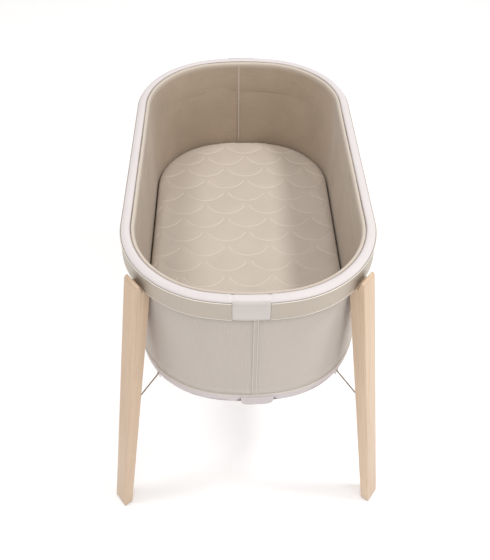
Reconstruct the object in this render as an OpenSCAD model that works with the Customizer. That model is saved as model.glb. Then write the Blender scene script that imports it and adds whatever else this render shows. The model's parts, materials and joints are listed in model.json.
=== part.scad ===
// Moses basket on four plug-on wooden legs.
// Origin on the floor under the middle of the basket, +Z up, -Y is the front end.
// Profiles are drawn as (t, z): t is outwards from the rail's outer face, z is up from the rail's top edge.

/* [Rim] */
// Width over the rail
rim_width = 540; // [520:1:560]
// Height of the rail's top edge above the floor
rim_height = 800; // [760:5:840]
// Length of each straight side
side_run = 455; // [425:5:515]
// Radius of the corners, outside the rail
corner_radius = 226; // [215:1:248]
// Height of the rail
rail_height = 47; // [46:1:50]
// Wall of the rail
rail_wall = 3; // [2.5:0.1:3]
// Gap between the two rails at each end, closed by a fabric tab
rail_gap = 75; // [60:1:80]
// How far the padded rim stands above the rail
rim_rise = 10; // [9.5:0.5:12]

/* [Fabric] */
// Depth of the hem below the rail's top edge
hem_drop = 320; // [310:1:330]
// Depth of the basket's flat bottom
bottom_drop = 345; // [340:1:350]
// Depth of the end flaps
flap_drop = 356; // [350:1:360]
// How far the outer wall sits in from the rail
wall_inset = 13.5; // [13.5:0.1:16]
// Thickness of the wall fabric
wall_thick = 2.5; // [2:0.1:3]

/* [Mattress] */
// Depth of the mattress top below the rail's top edge
mattress_drop = 250; // [235:1:255]
// Thickness of the mattress
mattress_thick = 30; // [20:1:32]
// Gap from the rail's outer face in to the mattress edge
mattress_inset = 29.8; // [29.8:0.1:36]

/* [Legs] */
// Width of a leg
leg_width = 44; // [40:1:46]
// Direction in which a leg faces, from the X axis
leg_bearing = 37; // [34:1:40]
// Slope of a leg's outer face
leg_splay = 9.5; // [9:0.1:10]
// Distance of the outer face from the rail, at the rail's lower edge
head_out = 22; // [21:0.5:24]
// Thickness of the foot, outwards
foot_depth = 23; // [21:1:26]
// Height of the lip that stands in front of the rail, below the rail's top edge
lip_drop = 21; // [19:1:24]
// Length of the steel tongue inside a leg
tongue_length = 56; // [45:1:58]

/* [Stays] */
// Diameter of the wire
stay_wire = 3; // [2.5:0.1:3.2]
// Depth of the wire's pivot below the rail's top edge
stay_drop = 409; // [407:1:411]
// Slope of the wire
stay_rise = 38; // [37:0.5:39]
// Length of the wire, from its pivot
stay_length = 88; // [87:0.5:88]

/* [Hidden] */
$fn = 128;

// The rim's outline: straight sides, corner arcs and shallow end arcs, all tangent.
// A corner arc meets an end arc on the radius line that runs 11 across and 60 along, so it is 61 long:
// this keeps both centres on round numbers.
line_run = 11;
line_rise = 60;
line_length = 61;
corner_x = rim_width / 2 - corner_radius;
corner_y = side_run / 2;
end_radius = corner_radius + corner_x * line_length / line_run;
end_y = corner_y - corner_x * line_rise / line_run;
end_sweep = atan(line_run / line_rise);
// How many times that line the plan regions below are long, enough to pass the whole basket.
reach = 15;

// Layers across the rim and the walls, as values of t.
core_out = -rail_wall - 0.3;
core_in = -24;
core_wall = 3;
core_top = -3;
core_bottom = -43;
boss_height = 38;
boss_r = 4;
window_low = -40.5;
window_high = -7.5;
window_edge = 0.4;
wall_out = -wall_inset;
wall_in = wall_out - wall_thick;
liner_out = -25.5;
liner_in = -28;
skirt_out = -14;
skirt_in = -16;
hem_r = 2.4;
hem_gap = 0.2;

// Steel tongue: a flange under the core and a blade that plugs into the leg.
flange_top = core_bottom;
flange_bottom = core_bottom - 3;
flange_half_angle = 9;
screw_angle = 7.4;
screw_t = -8.5;
screw_r = 1.6;
screw_length = 13;
screw_head_r = 3.5;
screw_head = 1.8;
blade_t = -6;
blade_thick = 4;
blade_width = 24;
plug_gap = 0.15;
leg_tilt = leg_splay + 0.5;

// Leg outline.
head_in = -12.4;
step_t = 0.6;
step_drop = 41;
leg_top = -rail_height - 0.4;
slot_t = 6.8;
lip_t = 10.6;
lip_round = 5;
glide_thick = 3;
foot_out = head_out + (rim_height - rail_height) * tan(leg_splay);
foot_in = foot_out - foot_depth;

// Stays.
pin_r = 1.5;
pin_gap = 0.1;
eye_r = 3.1;
ear_r = 3.4;
ear_thick = 1.4;
pivot_gap = 4.8;
pivot_t = inner_face(stay_drop) - pivot_gap;
hinge_half = 3.2;
hinge_thick = 1.2;
hinge_length = 18;
hinge_fit = 0.05;
face_slope = atan((foot_in - head_in) / (rim_height - rail_height));
hinge_screw_r = 1.1;
hinge_screw_rise = 6.4;
hinge_screw_depth = 9;
hook_in = -20;
hook_out = -17;
hook_thick = 2.9;
hook_width = 13;
hook_slot = 5;
notch_top = -stay_drop + stay_length * sin(stay_rise) + 3.4;
notch_depth = 14.6;

// Base.
board_top = -(mattress_drop + mattress_thick) - 0.3;
board_thick = 6;
tube_r = 6;
tube_t = -38;
tube_z = board_top - board_thick - tube_r;

// Where the inner face of a leg is, at a depth below the rail's top edge.
function inner_face(drop) =
    head_in + (foot_in - head_in) * (drop - rail_height) / (rim_height - rail_height);

// Where the outer face of a leg is, at a depth below the rail's top edge.
function outer_face(drop) = head_out + (drop - rail_height) * tan(leg_splay);

// A straight side, right for sx = 1 and left for sx = -1, with the profile given.
module side_piece(sx) {
    mirror([sx < 0 ? 1 : 0, 0, 0])
        translate([rim_width / 2, corner_y, rim_height])
            rotate([90, 0, 0]) linear_extrude(side_run) children();
}

// The plan region that a corner arc fills.
module corner_wedge() {
    polygon([
        [corner_x, corner_y], [rim_width, corner_y], [rim_width, corner_y + reach * line_rise],
        [corner_x + reach * line_run, corner_y + reach * line_rise]
    ]);
}

// The plan region that an end arc fills, from one side to the other.
module end_wedge(left, right) {
    polygon([
        [0, end_y], [right * reach * line_run, end_y + reach * line_rise],
        [left * reach * line_run, end_y + reach * line_rise]
    ]);
}

// A piece kept only over a plan region.
module over(low, high) {
    intersection() {
        children(0);
        translate([0, 0, low]) linear_extrude(high - low) children(1);
    }
}

// One corner arc; sx and sy choose which.
module corner_piece(sx, sy) {
    mirror([sx < 0 ? 1 : 0, 0, 0]) mirror([0, sy < 0 ? 1 : 0, 0]) over(0, 2 * rim_height) {
        translate([corner_x, corner_y, rim_height])
            rotate_extrude(angle = 90) translate([corner_radius, 0]) children();
        corner_wedge();
    }
}

// An end arc, or its left or right half.
module end_arc(sy, left = -1, right = 1) {
    mirror([0, sy < 0 ? 1 : 0, 0]) over(0, 2 * rim_height) {
        translate([0, end_y, rim_height])
            rotate_extrude(start = 70, angle = 40) translate([end_radius, 0]) children();
        end_wedge(left, right);
    }
}

// A short part of an end arc, between two angles from the middle of the end.
module end_piece(sy, from, to) {
    mirror([0, sy < 0 ? 1 : 0, 0])
        translate([0, end_y, rim_height])
            rotate_extrude(start = 90 + from, angle = to - from)
                translate([end_radius, 0]) children();
}

// The whole way round the rim.
module ring() {
    for (s = [-1, 1]) {
        side_piece(s) children();
        corner_piece(s, -1) children();
        corner_piece(s, 1) children();
        end_arc(s) children();
    }
}

// Half of the rim, on one side.
module half_ring(sx) {
    side_piece(sx) children();
    for (sy = [-1, 1]) {
        corner_piece(sx, sy) children();
        end_arc(sy, min(sx, 0), max(sx, 0)) children();
    }
}

// A flat plate with the rim's outline, out to t, between two heights.
module oval_plate(t, low, high) {
    translate([-rim_width / 2 - t, -corner_y, rim_height + low])
        cube([rim_width + 2 * t, side_run, high - low]);
    for (sy = [-1, 1]) mirror([0, sy < 0 ? 1 : 0, 0]) {
        for (sx = [-1, 1]) mirror([sx < 0 ? 1 : 0, 0, 0]) over(0, 2 * rim_height) {
            translate([corner_x, corner_y, rim_height + low])
                cylinder(h = high - low, r = corner_radius + t);
            corner_wedge();
        }
        over(0, 2 * rim_height) {
            translate([0, end_y, rim_height + low]) cylinder(h = high - low, r = end_radius + t);
            end_wedge(-1, 1);
        }
    }
}

// The frame of one leg: X is outwards from the rail's outer face, Y runs along the rim, Z is up.
module at_leg(sx, sy) {
    mirror([sx < 0 ? 1 : 0, 0, 0]) mirror([0, sy < 0 ? 1 : 0, 0])
        translate([corner_x, corner_y, rim_height])
            rotate([0, 0, leg_bearing]) translate([corner_radius, 0, 0]) children();
}

// A (t, z) profile given a width along the rim, in the frame of a leg.
module slab(width) {
    translate([0, width / 2, 0]) rotate([90, 0, 0]) linear_extrude(width) children();
}

// A rectangle between two corners of a profile.
module box2(t0, z0, t1, z1) {
    translate([t0, z0]) square([t1 - t0, z1 - z0]);
}

// --- Rail -----------------------------------------------------------------------------------

module rail(sx) {
    difference() {
        half_ring(sx) box2(-rail_wall, -rail_height, 0, 0);
        translate([-rail_gap / 2, -rim_width, rim_height - 2 * rail_height])
            cube([rail_gap, 2 * rim_width, 3 * rail_height]);
        rail_screw_places() cylinder(h = 4, r = rail_screw_r);
    }
}

module rail_left() {
    color("#b9b0a4") rail(-1);
}

module rail_right() {
    color("#b9b0a4") rail(1);
}

joiner_half_angle = 8.9;
joiner_out = -rail_wall - 0.1;
joiner_in = joiner_out - 3;

rail_screw_r = 1.7;
rail_screw_angles = [-7.6, -5.6, 5.6, 7.6];
rail_screw_drop = 24;

// Eight screw places, each with Z outwards and its zero at the joiner's inner face.
module rail_screw_places() {
    for (sy = [-1, 1], a = rail_screw_angles)
        mirror([0, sy < 0 ? 1 : 0, 0])
            translate([0, end_y, rim_height - rail_screw_drop]) rotate([0, 0, 90 + a])
                rotate([0, 90, 0]) translate([0, 0, end_radius + joiner_in]) children();
}

module rail_joiner(sy) {
    difference() {
        end_piece(sy, -joiner_half_angle, joiner_half_angle) box2(joiner_in, -39, joiner_out, -9);
        rail_screw_places() translate([0, 0, -1]) cylinder(h = 8, r = rail_screw_r + 0.1);
    }
}

module rail_joiner_front() {
    color("#8d8f92") rail_joiner(-1);
}

module rail_joiner_rear() {
    color("#8d8f92") rail_joiner(1);
}

module rail_screws() {
    color("#6f7174") rail_screw_places() {
        translate([0, 0, -2.2]) cylinder(h = 2.2, r = 3.2);
        cylinder(h = 3.9, r = rail_screw_r);
    }
}

// --- Padded rim -----------------------------------------------------------------------------

// Two screw places for each tongue, under the core, with Z up.
module tongue_screw_places() {
    for (sx = [-1, 1], sy = [-1, 1], a = [-screw_angle, screw_angle])
        mirror([sx < 0 ? 1 : 0, 0, 0]) mirror([0, sy < 0 ? 1 : 0, 0])
            translate([corner_x, corner_y, rim_height + flange_bottom])
                rotate([0, 0, leg_bearing + a])
                    translate([corner_radius + screw_t, 0, 0]) children();
}

module rim_core() {
    color("#77736d") difference() {
        union() {
            ring() polygon([
                [core_out, core_bottom], [core_out, core_top], [core_in, core_top],
                [core_in, core_bottom], [core_in + core_wall, core_bottom],
                [core_in + core_wall, core_top - core_wall],
                [core_out - core_wall, core_top - core_wall], [core_out - core_wall, core_bottom]
            ]);
            tongue_screw_places() translate([0, 0, flange_top - flange_bottom])
                cylinder(h = boss_height, r = boss_r);
        }
        for (sy = [-1, 1])
            end_piece(sy, window_edge - end_sweep, end_sweep - window_edge)
                box2(core_out - core_wall - 0.5, window_low, 1, window_high);
        tongue_screw_places() cylinder(h = screw_length + 3, r = screw_r);
    }
}

module rim_foam() {
    color("#efe9dc") ring() polygon([
        [-5.4, -2.8], [-5.4, 2.2], [-7.2, rim_rise - 5.2], [-10.7, rim_rise - 2.9],
        [-15, rim_rise - 2], [-21.5, rim_rise - 2], [-22.6, rim_rise - 4], [-22.6, -2.8]
    ]);
}

module rim_cover() {
    color("#ebe3e2") ring() polygon([
        [-5, -2.6], [-3.2, -2.6], [-3.4, 3], [-6, rim_rise - 3.5], [-10, rim_rise - 1], [-15, rim_rise],
        [-21.4, rim_rise], [-21.4, rim_rise - 1.8], [-15, rim_rise - 1.8], [-10.6, rim_rise - 2.7],
        [-7, rim_rise - 5], [-5.2, 2.3]
    ]);
}

module rim_piping() {
    color("#a08c78") ring() translate([-22.8, rim_rise - 0.9]) circle(r = 1.3);
}

tab_half_angle = 4.3;

module end_tab(sy) {
    end_piece(sy, -tab_half_angle, tab_half_angle) polygon([
        [-2.6, -rail_height], [0, -rail_height], [0, 0.5], [-1.2, 3.6], [-3.2, 5], [-3.1, 0]
    ]);
}

module front_tab() {
    color("#dbd7d2") end_tab(-1);
}

module rear_tab() {
    color("#dbd7d2") end_tab(1);
}

// --- Liner and outer wall -------------------------------------------------------------------

module liner(sx) {
    half_ring(sx) {
        box2(liner_in, board_top - board_thick, liner_out, 4);
        translate([-26.7, rim_rise - 4.7]) circle(r = 2.5);
    }
}

module liner_left() {
    color("#a29584") liner(-1);
}

module liner_right() {
    color("#a29584") liner(1);
}

seam_half_angle = 0.6;

module liner_seams() {
    color("#8f8270") for (sy = [-1, 1])
        end_piece(sy, -seam_half_angle, seam_half_angle) box2(liner_in - 0.9, board_top + 1, liner_in, 0);
}

module outer_wall(sx) {
    half_ring(sx) box2(wall_in, -hem_drop + hem_r + hem_gap, wall_out, flange_bottom - 0.4);
}

module wall_left() {
    color("#beb3a8") outer_wall(-1);
}

module wall_right() {
    color("#beb3a8") outer_wall(1);
}

module wall_seam(sy) {
    end_piece(sy, -seam_half_angle, seam_half_angle)
        box2(wall_out, -hem_drop + 3, wall_out + 0.9, flange_bottom - 2);
}

module wall_seam_front() {
    color("#b3a89c") wall_seam(-1);
}

module wall_seam_rear() {
    color("#b3a89c") wall_seam(1);
}

module hem_piping() {
    color("#d8cdbd") ring() translate([wall_out - 0.9, -hem_drop]) circle(r = hem_r);
}

// --- Bottom ---------------------------------------------------------------------------------

module bottom_skirt() {
    color("#d3c6c6") ring() box2(skirt_in, -bottom_drop, skirt_out, -hem_drop - hem_r - hem_gap);
}

module bottom_panel() {
    color("#cfc3c2") difference() {
        oval_plate(skirt_out, -bottom_drop - 2, -bottom_drop);
        for (sx = [-1, 1], sy = [-1, 1])
            at_leg(sx, sy) slab(hook_width + 1.6) box2(hook_in - 1, -bottom_drop - 4, hook_out + 1, 0);
    }
}

module end_flap(sy) {
    end_piece(sy, -tab_half_angle, tab_half_angle)
        box2(skirt_out + 0.3, -flap_drop, skirt_out + 2.1, -hem_drop - hem_r - hem_gap);
}

module front_flap() {
    color("#d6caca") end_flap(-1);
}

module rear_flap() {
    color("#d6caca") end_flap(1);
}

module base_board() {
    color("#c9a877") oval_plate(liner_in - 0.4, board_top - board_thick, board_top);
}

module base_frame() {
    color("#8d8f92") ring() translate([tube_t, tube_z]) circle(r = tube_r);
}

crossbar_y = 170;

module base_crossbars() {
    color("#8d8f92") for (sy = [-1, 1])
        translate([-rim_width / 2 - tube_t + tube_r, sy * crossbar_y, rim_height + tube_z])
            rotate([0, 90, 0]) cylinder(h = rim_width + 2 * (tube_t - tube_r), r = tube_r - 1);
}

// --- Tongues --------------------------------------------------------------------------------

// The blade's side view, grown by a gap for the mortise that takes it.
module blade_outline(length, gap) {
    translate([blade_t, flange_bottom]) rotate(leg_tilt)
        box2(-blade_thick / 2 - gap, -length, blade_thick / 2 + gap, 2 + 8 * gap);
}

module tongue(sx, sy) {
    difference() {
        at_leg(sx, sy) {
            translate([-corner_radius, 0, 0]) rotate([0, 0, -flange_half_angle])
                rotate_extrude(angle = 2 * flange_half_angle) translate([corner_radius, 0])
                    box2(-13, flange_bottom, core_out, flange_top);
            slab(blade_width) blade_outline(tongue_length, 0);
        }
        tongue_screw_places() translate([0, 0, -1]) cylinder(h = 5, r = screw_r + 0.3);
        tongue_screw_places()
            cylinder(h = screw_head + 0.1, r1 = screw_head_r + 0.2, r2 = screw_r + 0.3);
    }
}

module tongue_front_left() {
    color("#a3a5a8") tongue(-1, -1);
}

module tongue_front_right() {
    color("#a3a5a8") tongue(1, -1);
}

module tongue_rear_left() {
    color("#a3a5a8") tongue(-1, 1);
}

module tongue_rear_right() {
    color("#a3a5a8") tongue(1, 1);
}

module tongue_screws() {
    color("#6f7174") tongue_screw_places() {
        cylinder(h = screw_head, r1 = screw_head_r, r2 = screw_r);
        translate([0, 0, screw_head - 0.1]) cylinder(h = screw_length, r = screw_r);
    }
}

// --- Stay hooks under the base --------------------------------------------------------------

module stay_hook(sx, sy) {
    at_leg(sx, sy) difference() {
        slab(hook_width) {
            box2(tube_t - 4, tube_z - tube_r - hook_thick, hook_out, tube_z - tube_r);
            box2(hook_in, notch_top - notch_depth, hook_out, tube_z - tube_r);
        }
        slab(hook_slot) box2(hook_in - 1, -stay_drop, hook_out + 1, notch_top);
    }
}

module stay_hook_front_left() {
    color("#9a958c") stay_hook(-1, -1);
}

module stay_hook_front_right() {
    color("#9a958c") stay_hook(1, -1);
}

module stay_hook_rear_left() {
    color("#9a958c") stay_hook(-1, 1);
}

module stay_hook_rear_right() {
    color("#9a958c") stay_hook(1, 1);
}

// --- Mattress -------------------------------------------------------------------------------

cover_thick = 2;

module mattress_foam() {
    color("#f0ead8") oval_plate(
        -mattress_inset - cover_thick,
        -mattress_drop - mattress_thick + cover_thick, -mattress_drop - cover_thick
    );
}

module mattress_cover() {
    color("#cbbfb0") difference() {
        oval_plate(-mattress_inset, -mattress_drop - mattress_thick, -mattress_drop);
        mattress_foam();
    }
}

// --- Legs -----------------------------------------------------------------------------------

// The leg's inner face at the stay's pivot: X is out of the leg's back, square to it.
module at_hinge() {
    translate([inner_face(stay_drop) - hinge_fit, 0, -stay_drop]) rotate([0, -face_slope, 0]) children();
}

// Two screw places in that face, each with Z into the leg.
module hinge_screw_places() {
    at_hinge() for (rise = [-hinge_screw_rise, hinge_screw_rise])
        translate([0, 0, rise]) rotate([0, 90, 0]) children();
}

// Side view of a leg, with the slot behind its lip and the step that the rail sits against.
module leg_outline() {
    foot = -rim_height + glide_thick;
    lip_out = outer_face(lip_drop);
    difference() {
        polygon([
            [inner_face(rim_height - glide_thick), foot], [outer_face(rim_height - glide_thick), foot],
            [outer_face(lip_drop + lip_round), -lip_drop - lip_round],
            [lip_out - lip_round, -lip_drop - lip_round], [lip_out - lip_round, -lip_drop],
            [lip_t, -lip_drop], [slot_t, -step_drop + 4], [slot_t, -step_drop],
            [step_t, -step_drop], [step_t, leg_top], [head_in, leg_top]
        ]);
        translate([slot_t - 1.9, -step_drop]) circle(r = 1.9);
    }
    translate([lip_out - lip_round, -lip_drop - lip_round]) intersection() {
        circle(r = lip_round);
        square(lip_round);
    }
}

module leg(sx, sy) {
    at_leg(sx, sy) difference() {
        slab(leg_width) leg_outline();
        slab(blade_width + 2 * plug_gap) blade_outline(tongue_length + 4, plug_gap);
        hinge_screw_places() cylinder(h = hinge_screw_depth + 1, r = hinge_screw_r + 0.05);
    }
}

module leg_front_left() {
    color("#d9c0a0") leg(-1, -1);
}

module leg_front_right() {
    color("#d9c0a0") leg(1, -1);
}

module leg_rear_left() {
    color("#d9c0a0") leg(-1, 1);
}

module leg_rear_right() {
    color("#d9c0a0") leg(1, 1);
}

module foot_glide(sx, sy) {
    at_leg(sx, sy) slab(leg_width - 2)
        box2(foot_in + 1, -rim_height, foot_out - 1, -rim_height + glide_thick);
}

module foot_glide_front_left() {
    color("#5f564c") foot_glide(-1, -1);
}

module foot_glide_front_right() {
    color("#5f564c") foot_glide(1, -1);
}

module foot_glide_rear_left() {
    color("#5f564c") foot_glide(-1, 1);
}

module foot_glide_rear_right() {
    color("#5f564c") foot_glide(1, 1);
}

// --- Stay hinges on the legs ----------------------------------------------------------------

// A cylinder across the leg at the stay's pivot.
module at_pivot(length, r) {
    translate([pivot_t, length / 2, -stay_drop]) rotate([90, 0, 0]) cylinder(h = length, r = r);
}

module stay_hinge(sx, sy) {
    at_leg(sx, sy) difference() {
        union() {
            at_hinge() translate([-hinge_thick, -hinge_half, -hinge_length / 2])
                cube([hinge_thick, 2 * hinge_half, hinge_length]);
            for (side = [-1, 1])
                translate([0, side * (hinge_half - ear_thick / 2), 0]) {
                    at_pivot(ear_thick, ear_r);
                    translate([pivot_t, -ear_thick / 2, -stay_drop - ear_r])
                        cube([pivot_gap - 0.8, ear_thick, 2 * ear_r]);
                }
        }
        at_pivot(4 * hinge_half, pin_r);
        hinge_screw_places() translate([0, 0, -2 * hinge_thick])
            cylinder(h = 3 * hinge_thick, r = hinge_screw_r + 0.05);
    }
}

module stay_hinge_front_left() {
    color("#8a7a66") stay_hinge(-1, -1);
}

module stay_hinge_front_right() {
    color("#8a7a66") stay_hinge(1, -1);
}

module stay_hinge_rear_left() {
    color("#8a7a66") stay_hinge(-1, 1);
}

module stay_hinge_rear_right() {
    color("#8a7a66") stay_hinge(1, 1);
}

// The hinge's pin and the two screws that hold it to the leg.
module stay_fixings(sx, sy) {
    at_leg(sx, sy) {
        at_pivot(2 * hinge_half + 1, pin_r);
        hinge_screw_places() {
            translate([0, 0, -hinge_thick - 1]) cylinder(h = 1, r = 2);
            translate([0, 0, -hinge_thick - 0.1])
                cylinder(h = hinge_screw_depth + hinge_thick, r = hinge_screw_r);
        }
    }
}

module stay_fixings_front_left() {
    color("#6f6252") stay_fixings(-1, -1);
}

module stay_fixings_front_right() {
    color("#6f6252") stay_fixings(1, -1);
}

module stay_fixings_rear_left() {
    color("#6f6252") stay_fixings(-1, 1);
}

module stay_fixings_rear_right() {
    color("#6f6252") stay_fixings(1, 1);
}

// A wire with an eye round the pin, rising inwards to its hook.
module stay(sx, sy) {
    at_leg(sx, sy) difference() {
        union() {
            at_pivot(2 * (hinge_half - ear_thick) - 0.4, eye_r);
            translate([pivot_t, 0, -stay_drop]) rotate([0, -90 + stay_rise, 0])
                cylinder(h = stay_length, r = stay_wire / 2);
        }
        at_pivot(4 * hinge_half, pin_r + pin_gap);
    }
}

module stay_front_left() {
    color("#7d6f5d") stay(-1, -1);
}

module stay_front_right() {
    color("#7d6f5d") stay(1, -1);
}

module stay_rear_left() {
    color("#7d6f5d") stay(-1, 1);
}

module stay_rear_right() {
    color("#7d6f5d") stay(1, 1);
}

rail_left();
rail_right();
rail_joiner_front();
rail_joiner_rear();
rail_screws();
rim_core();
rim_foam();
rim_cover();
rim_piping();
front_tab();
rear_tab();
liner_left();
liner_right();
liner_seams();
wall_left();
wall_right();
wall_seam_front();
wall_seam_rear();
hem_piping();
bottom_skirt();
bottom_panel();
front_flap();
rear_flap();
base_board();
base_frame();
base_crossbars();
tongue_front_left();
tongue_front_right();
tongue_rear_left();
tongue_rear_right();
tongue_screws();
stay_hook_front_left();
stay_hook_front_right();
stay_hook_rear_left();
stay_hook_rear_right();
mattress_foam();
mattress_cover();
leg_front_left();
leg_front_right();
leg_rear_left();
leg_rear_right();
foot_glide_front_left();
foot_glide_front_right();
foot_glide_rear_left();
foot_glide_rear_right();
stay_hinge_front_left();
stay_hinge_front_right();
stay_hinge_rear_left();
stay_hinge_rear_right();
stay_fixings_front_left();
stay_fixings_front_right();
stay_fixings_rear_left();
stay_fixings_rear_right();
stay_front_left();
stay_front_right();
stay_rear_left();
stay_rear_right();
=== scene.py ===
"""Looks of an oval fabric bassinet on four plug-on beech legs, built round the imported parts.

All sizes are in metres. A place round the rim is a run: the distance along the rail's outer face from the
middle of the front end, growing towards the right-hand side. A profile is drawn as (out, up): out is outwards
from the rail's outer face and up is from the rail's top edge.
"""

import json
import logging
import math
from dataclasses import dataclass, field
from enum import Enum
from typing import Any, Callable, Dict, List, Optional, Sequence, Tuple, Union

import bmesh
import bpy
import numpy as np
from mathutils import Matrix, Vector
from mathutils.geometry import delaunay_2d_cdt

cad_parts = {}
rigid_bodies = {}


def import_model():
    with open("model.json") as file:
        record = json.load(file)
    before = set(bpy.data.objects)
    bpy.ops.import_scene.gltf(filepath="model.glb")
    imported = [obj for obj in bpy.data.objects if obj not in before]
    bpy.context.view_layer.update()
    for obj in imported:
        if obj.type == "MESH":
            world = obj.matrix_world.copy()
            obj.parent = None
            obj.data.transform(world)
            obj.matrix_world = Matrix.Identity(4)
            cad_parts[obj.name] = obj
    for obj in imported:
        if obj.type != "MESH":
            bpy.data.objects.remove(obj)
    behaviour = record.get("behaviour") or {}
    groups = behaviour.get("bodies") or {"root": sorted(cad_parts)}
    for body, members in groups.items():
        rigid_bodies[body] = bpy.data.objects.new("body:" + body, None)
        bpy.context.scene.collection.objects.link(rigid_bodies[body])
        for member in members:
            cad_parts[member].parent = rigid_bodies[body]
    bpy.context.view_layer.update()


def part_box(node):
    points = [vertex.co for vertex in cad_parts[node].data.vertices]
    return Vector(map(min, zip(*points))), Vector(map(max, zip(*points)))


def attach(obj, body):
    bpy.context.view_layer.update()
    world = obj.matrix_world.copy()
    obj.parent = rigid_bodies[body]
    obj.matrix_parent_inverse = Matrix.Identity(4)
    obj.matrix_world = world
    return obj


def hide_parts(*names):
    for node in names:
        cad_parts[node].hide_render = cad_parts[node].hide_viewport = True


logging.basicConfig(level=logging.INFO, format="%(levelname)s %(message)s")
log = logging.getLogger("bassinet")

Colour = Tuple[float, float, float]
Profile = Sequence[Tuple[float, float]]
Outline = List[Tuple[float, float]]
Number = Union[float, "Wire"]
Pair = Tuple[np.ndarray, np.ndarray]
Shift = Callable[[np.ndarray, np.ndarray, np.ndarray], Pair]
MM = 0.001
HAIR = 1e-9
LINER: Colour = (0.715, 0.645, 0.565)
CORNERS = ("front_left", "front_right", "rear_left", "rear_right")


def linear(colour: Sequence[float]) -> Tuple[float, float, float, float]:
    """Turns a screen colour into the linear colour that a shader takes.

    Args:
        colour: Red, green and blue as seen on screen, from 0 to 1.

    Returns:
        Linear red, green, blue and an alpha of 1.
    """
    r, g, b = (c / 12.92 if c <= 0.04045 else ((c + 0.055) / 1.055) ** 2.4 for c in colour)
    return (r, g, b, 1.0)


def toned(colour: Sequence[float], factor: float) -> Tuple[float, float, float, float]:
    """A linear colour made darker, or paler where the factor is above 1."""
    r, g, b = (min(1.0, c * factor) for c in colour[:3])
    return (r, g, b, 1.0)


# --- Shader helpers ---------------------------------------------------------------------------


class Wire:
    """A value on its way through a shader; an operator on it adds the Math node that works it out."""

    def __init__(self, shader: "Shader", socket: bpy.types.NodeSocket) -> None:
        """Keeps the shader that the socket belongs to, and the socket."""
        self.shader = shader
        self.socket = socket

    def __add__(self, other: Number) -> "Wire":
        """Sum."""
        return self.shader.maths("ADD", self, other)

    def __sub__(self, other: Number) -> "Wire":
        """Difference."""
        return self.shader.maths("SUBTRACT", self, other)

    def __rsub__(self, other: Number) -> "Wire":
        """Difference from a number."""
        return self.shader.maths("SUBTRACT", other, self)

    def __mul__(self, other: Number) -> "Wire":
        """Product."""
        return self.shader.maths("MULTIPLY", self, other)

    def __pow__(self, other: Number) -> "Wire":
        """Power."""
        return self.shader.maths("POWER", self, other)

    __radd__ = __add__
    __rmul__ = __mul__

    def sine(self) -> "Wire":
        """Sine, in radians."""
        return self.shader.maths("SINE", self)

    def ribs(self, pitch: float) -> "Wire":
        """Smooth ribs from 0 to 1, one in each pitch."""
        return (self * (2 * math.pi / pitch)).sine() * 0.5 + 0.5

    def rise(self, low: float, high: float) -> "Wire":
        """Smooth step from 0 at low to 1 at high.

        Args:
            low: Value where the step starts.
            high: Value where it ends.

        Returns:
            The step as a value from 0 to 1.
        """
        node = self.shader.node(
            "ShaderNodeMapRange",
            {"interpolation_type": "SMOOTHSTEP"},
            {"Value": self, "From Min": low, "From Max": high},
        )
        return Wire(self.shader, node.outputs["Result"])


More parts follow.
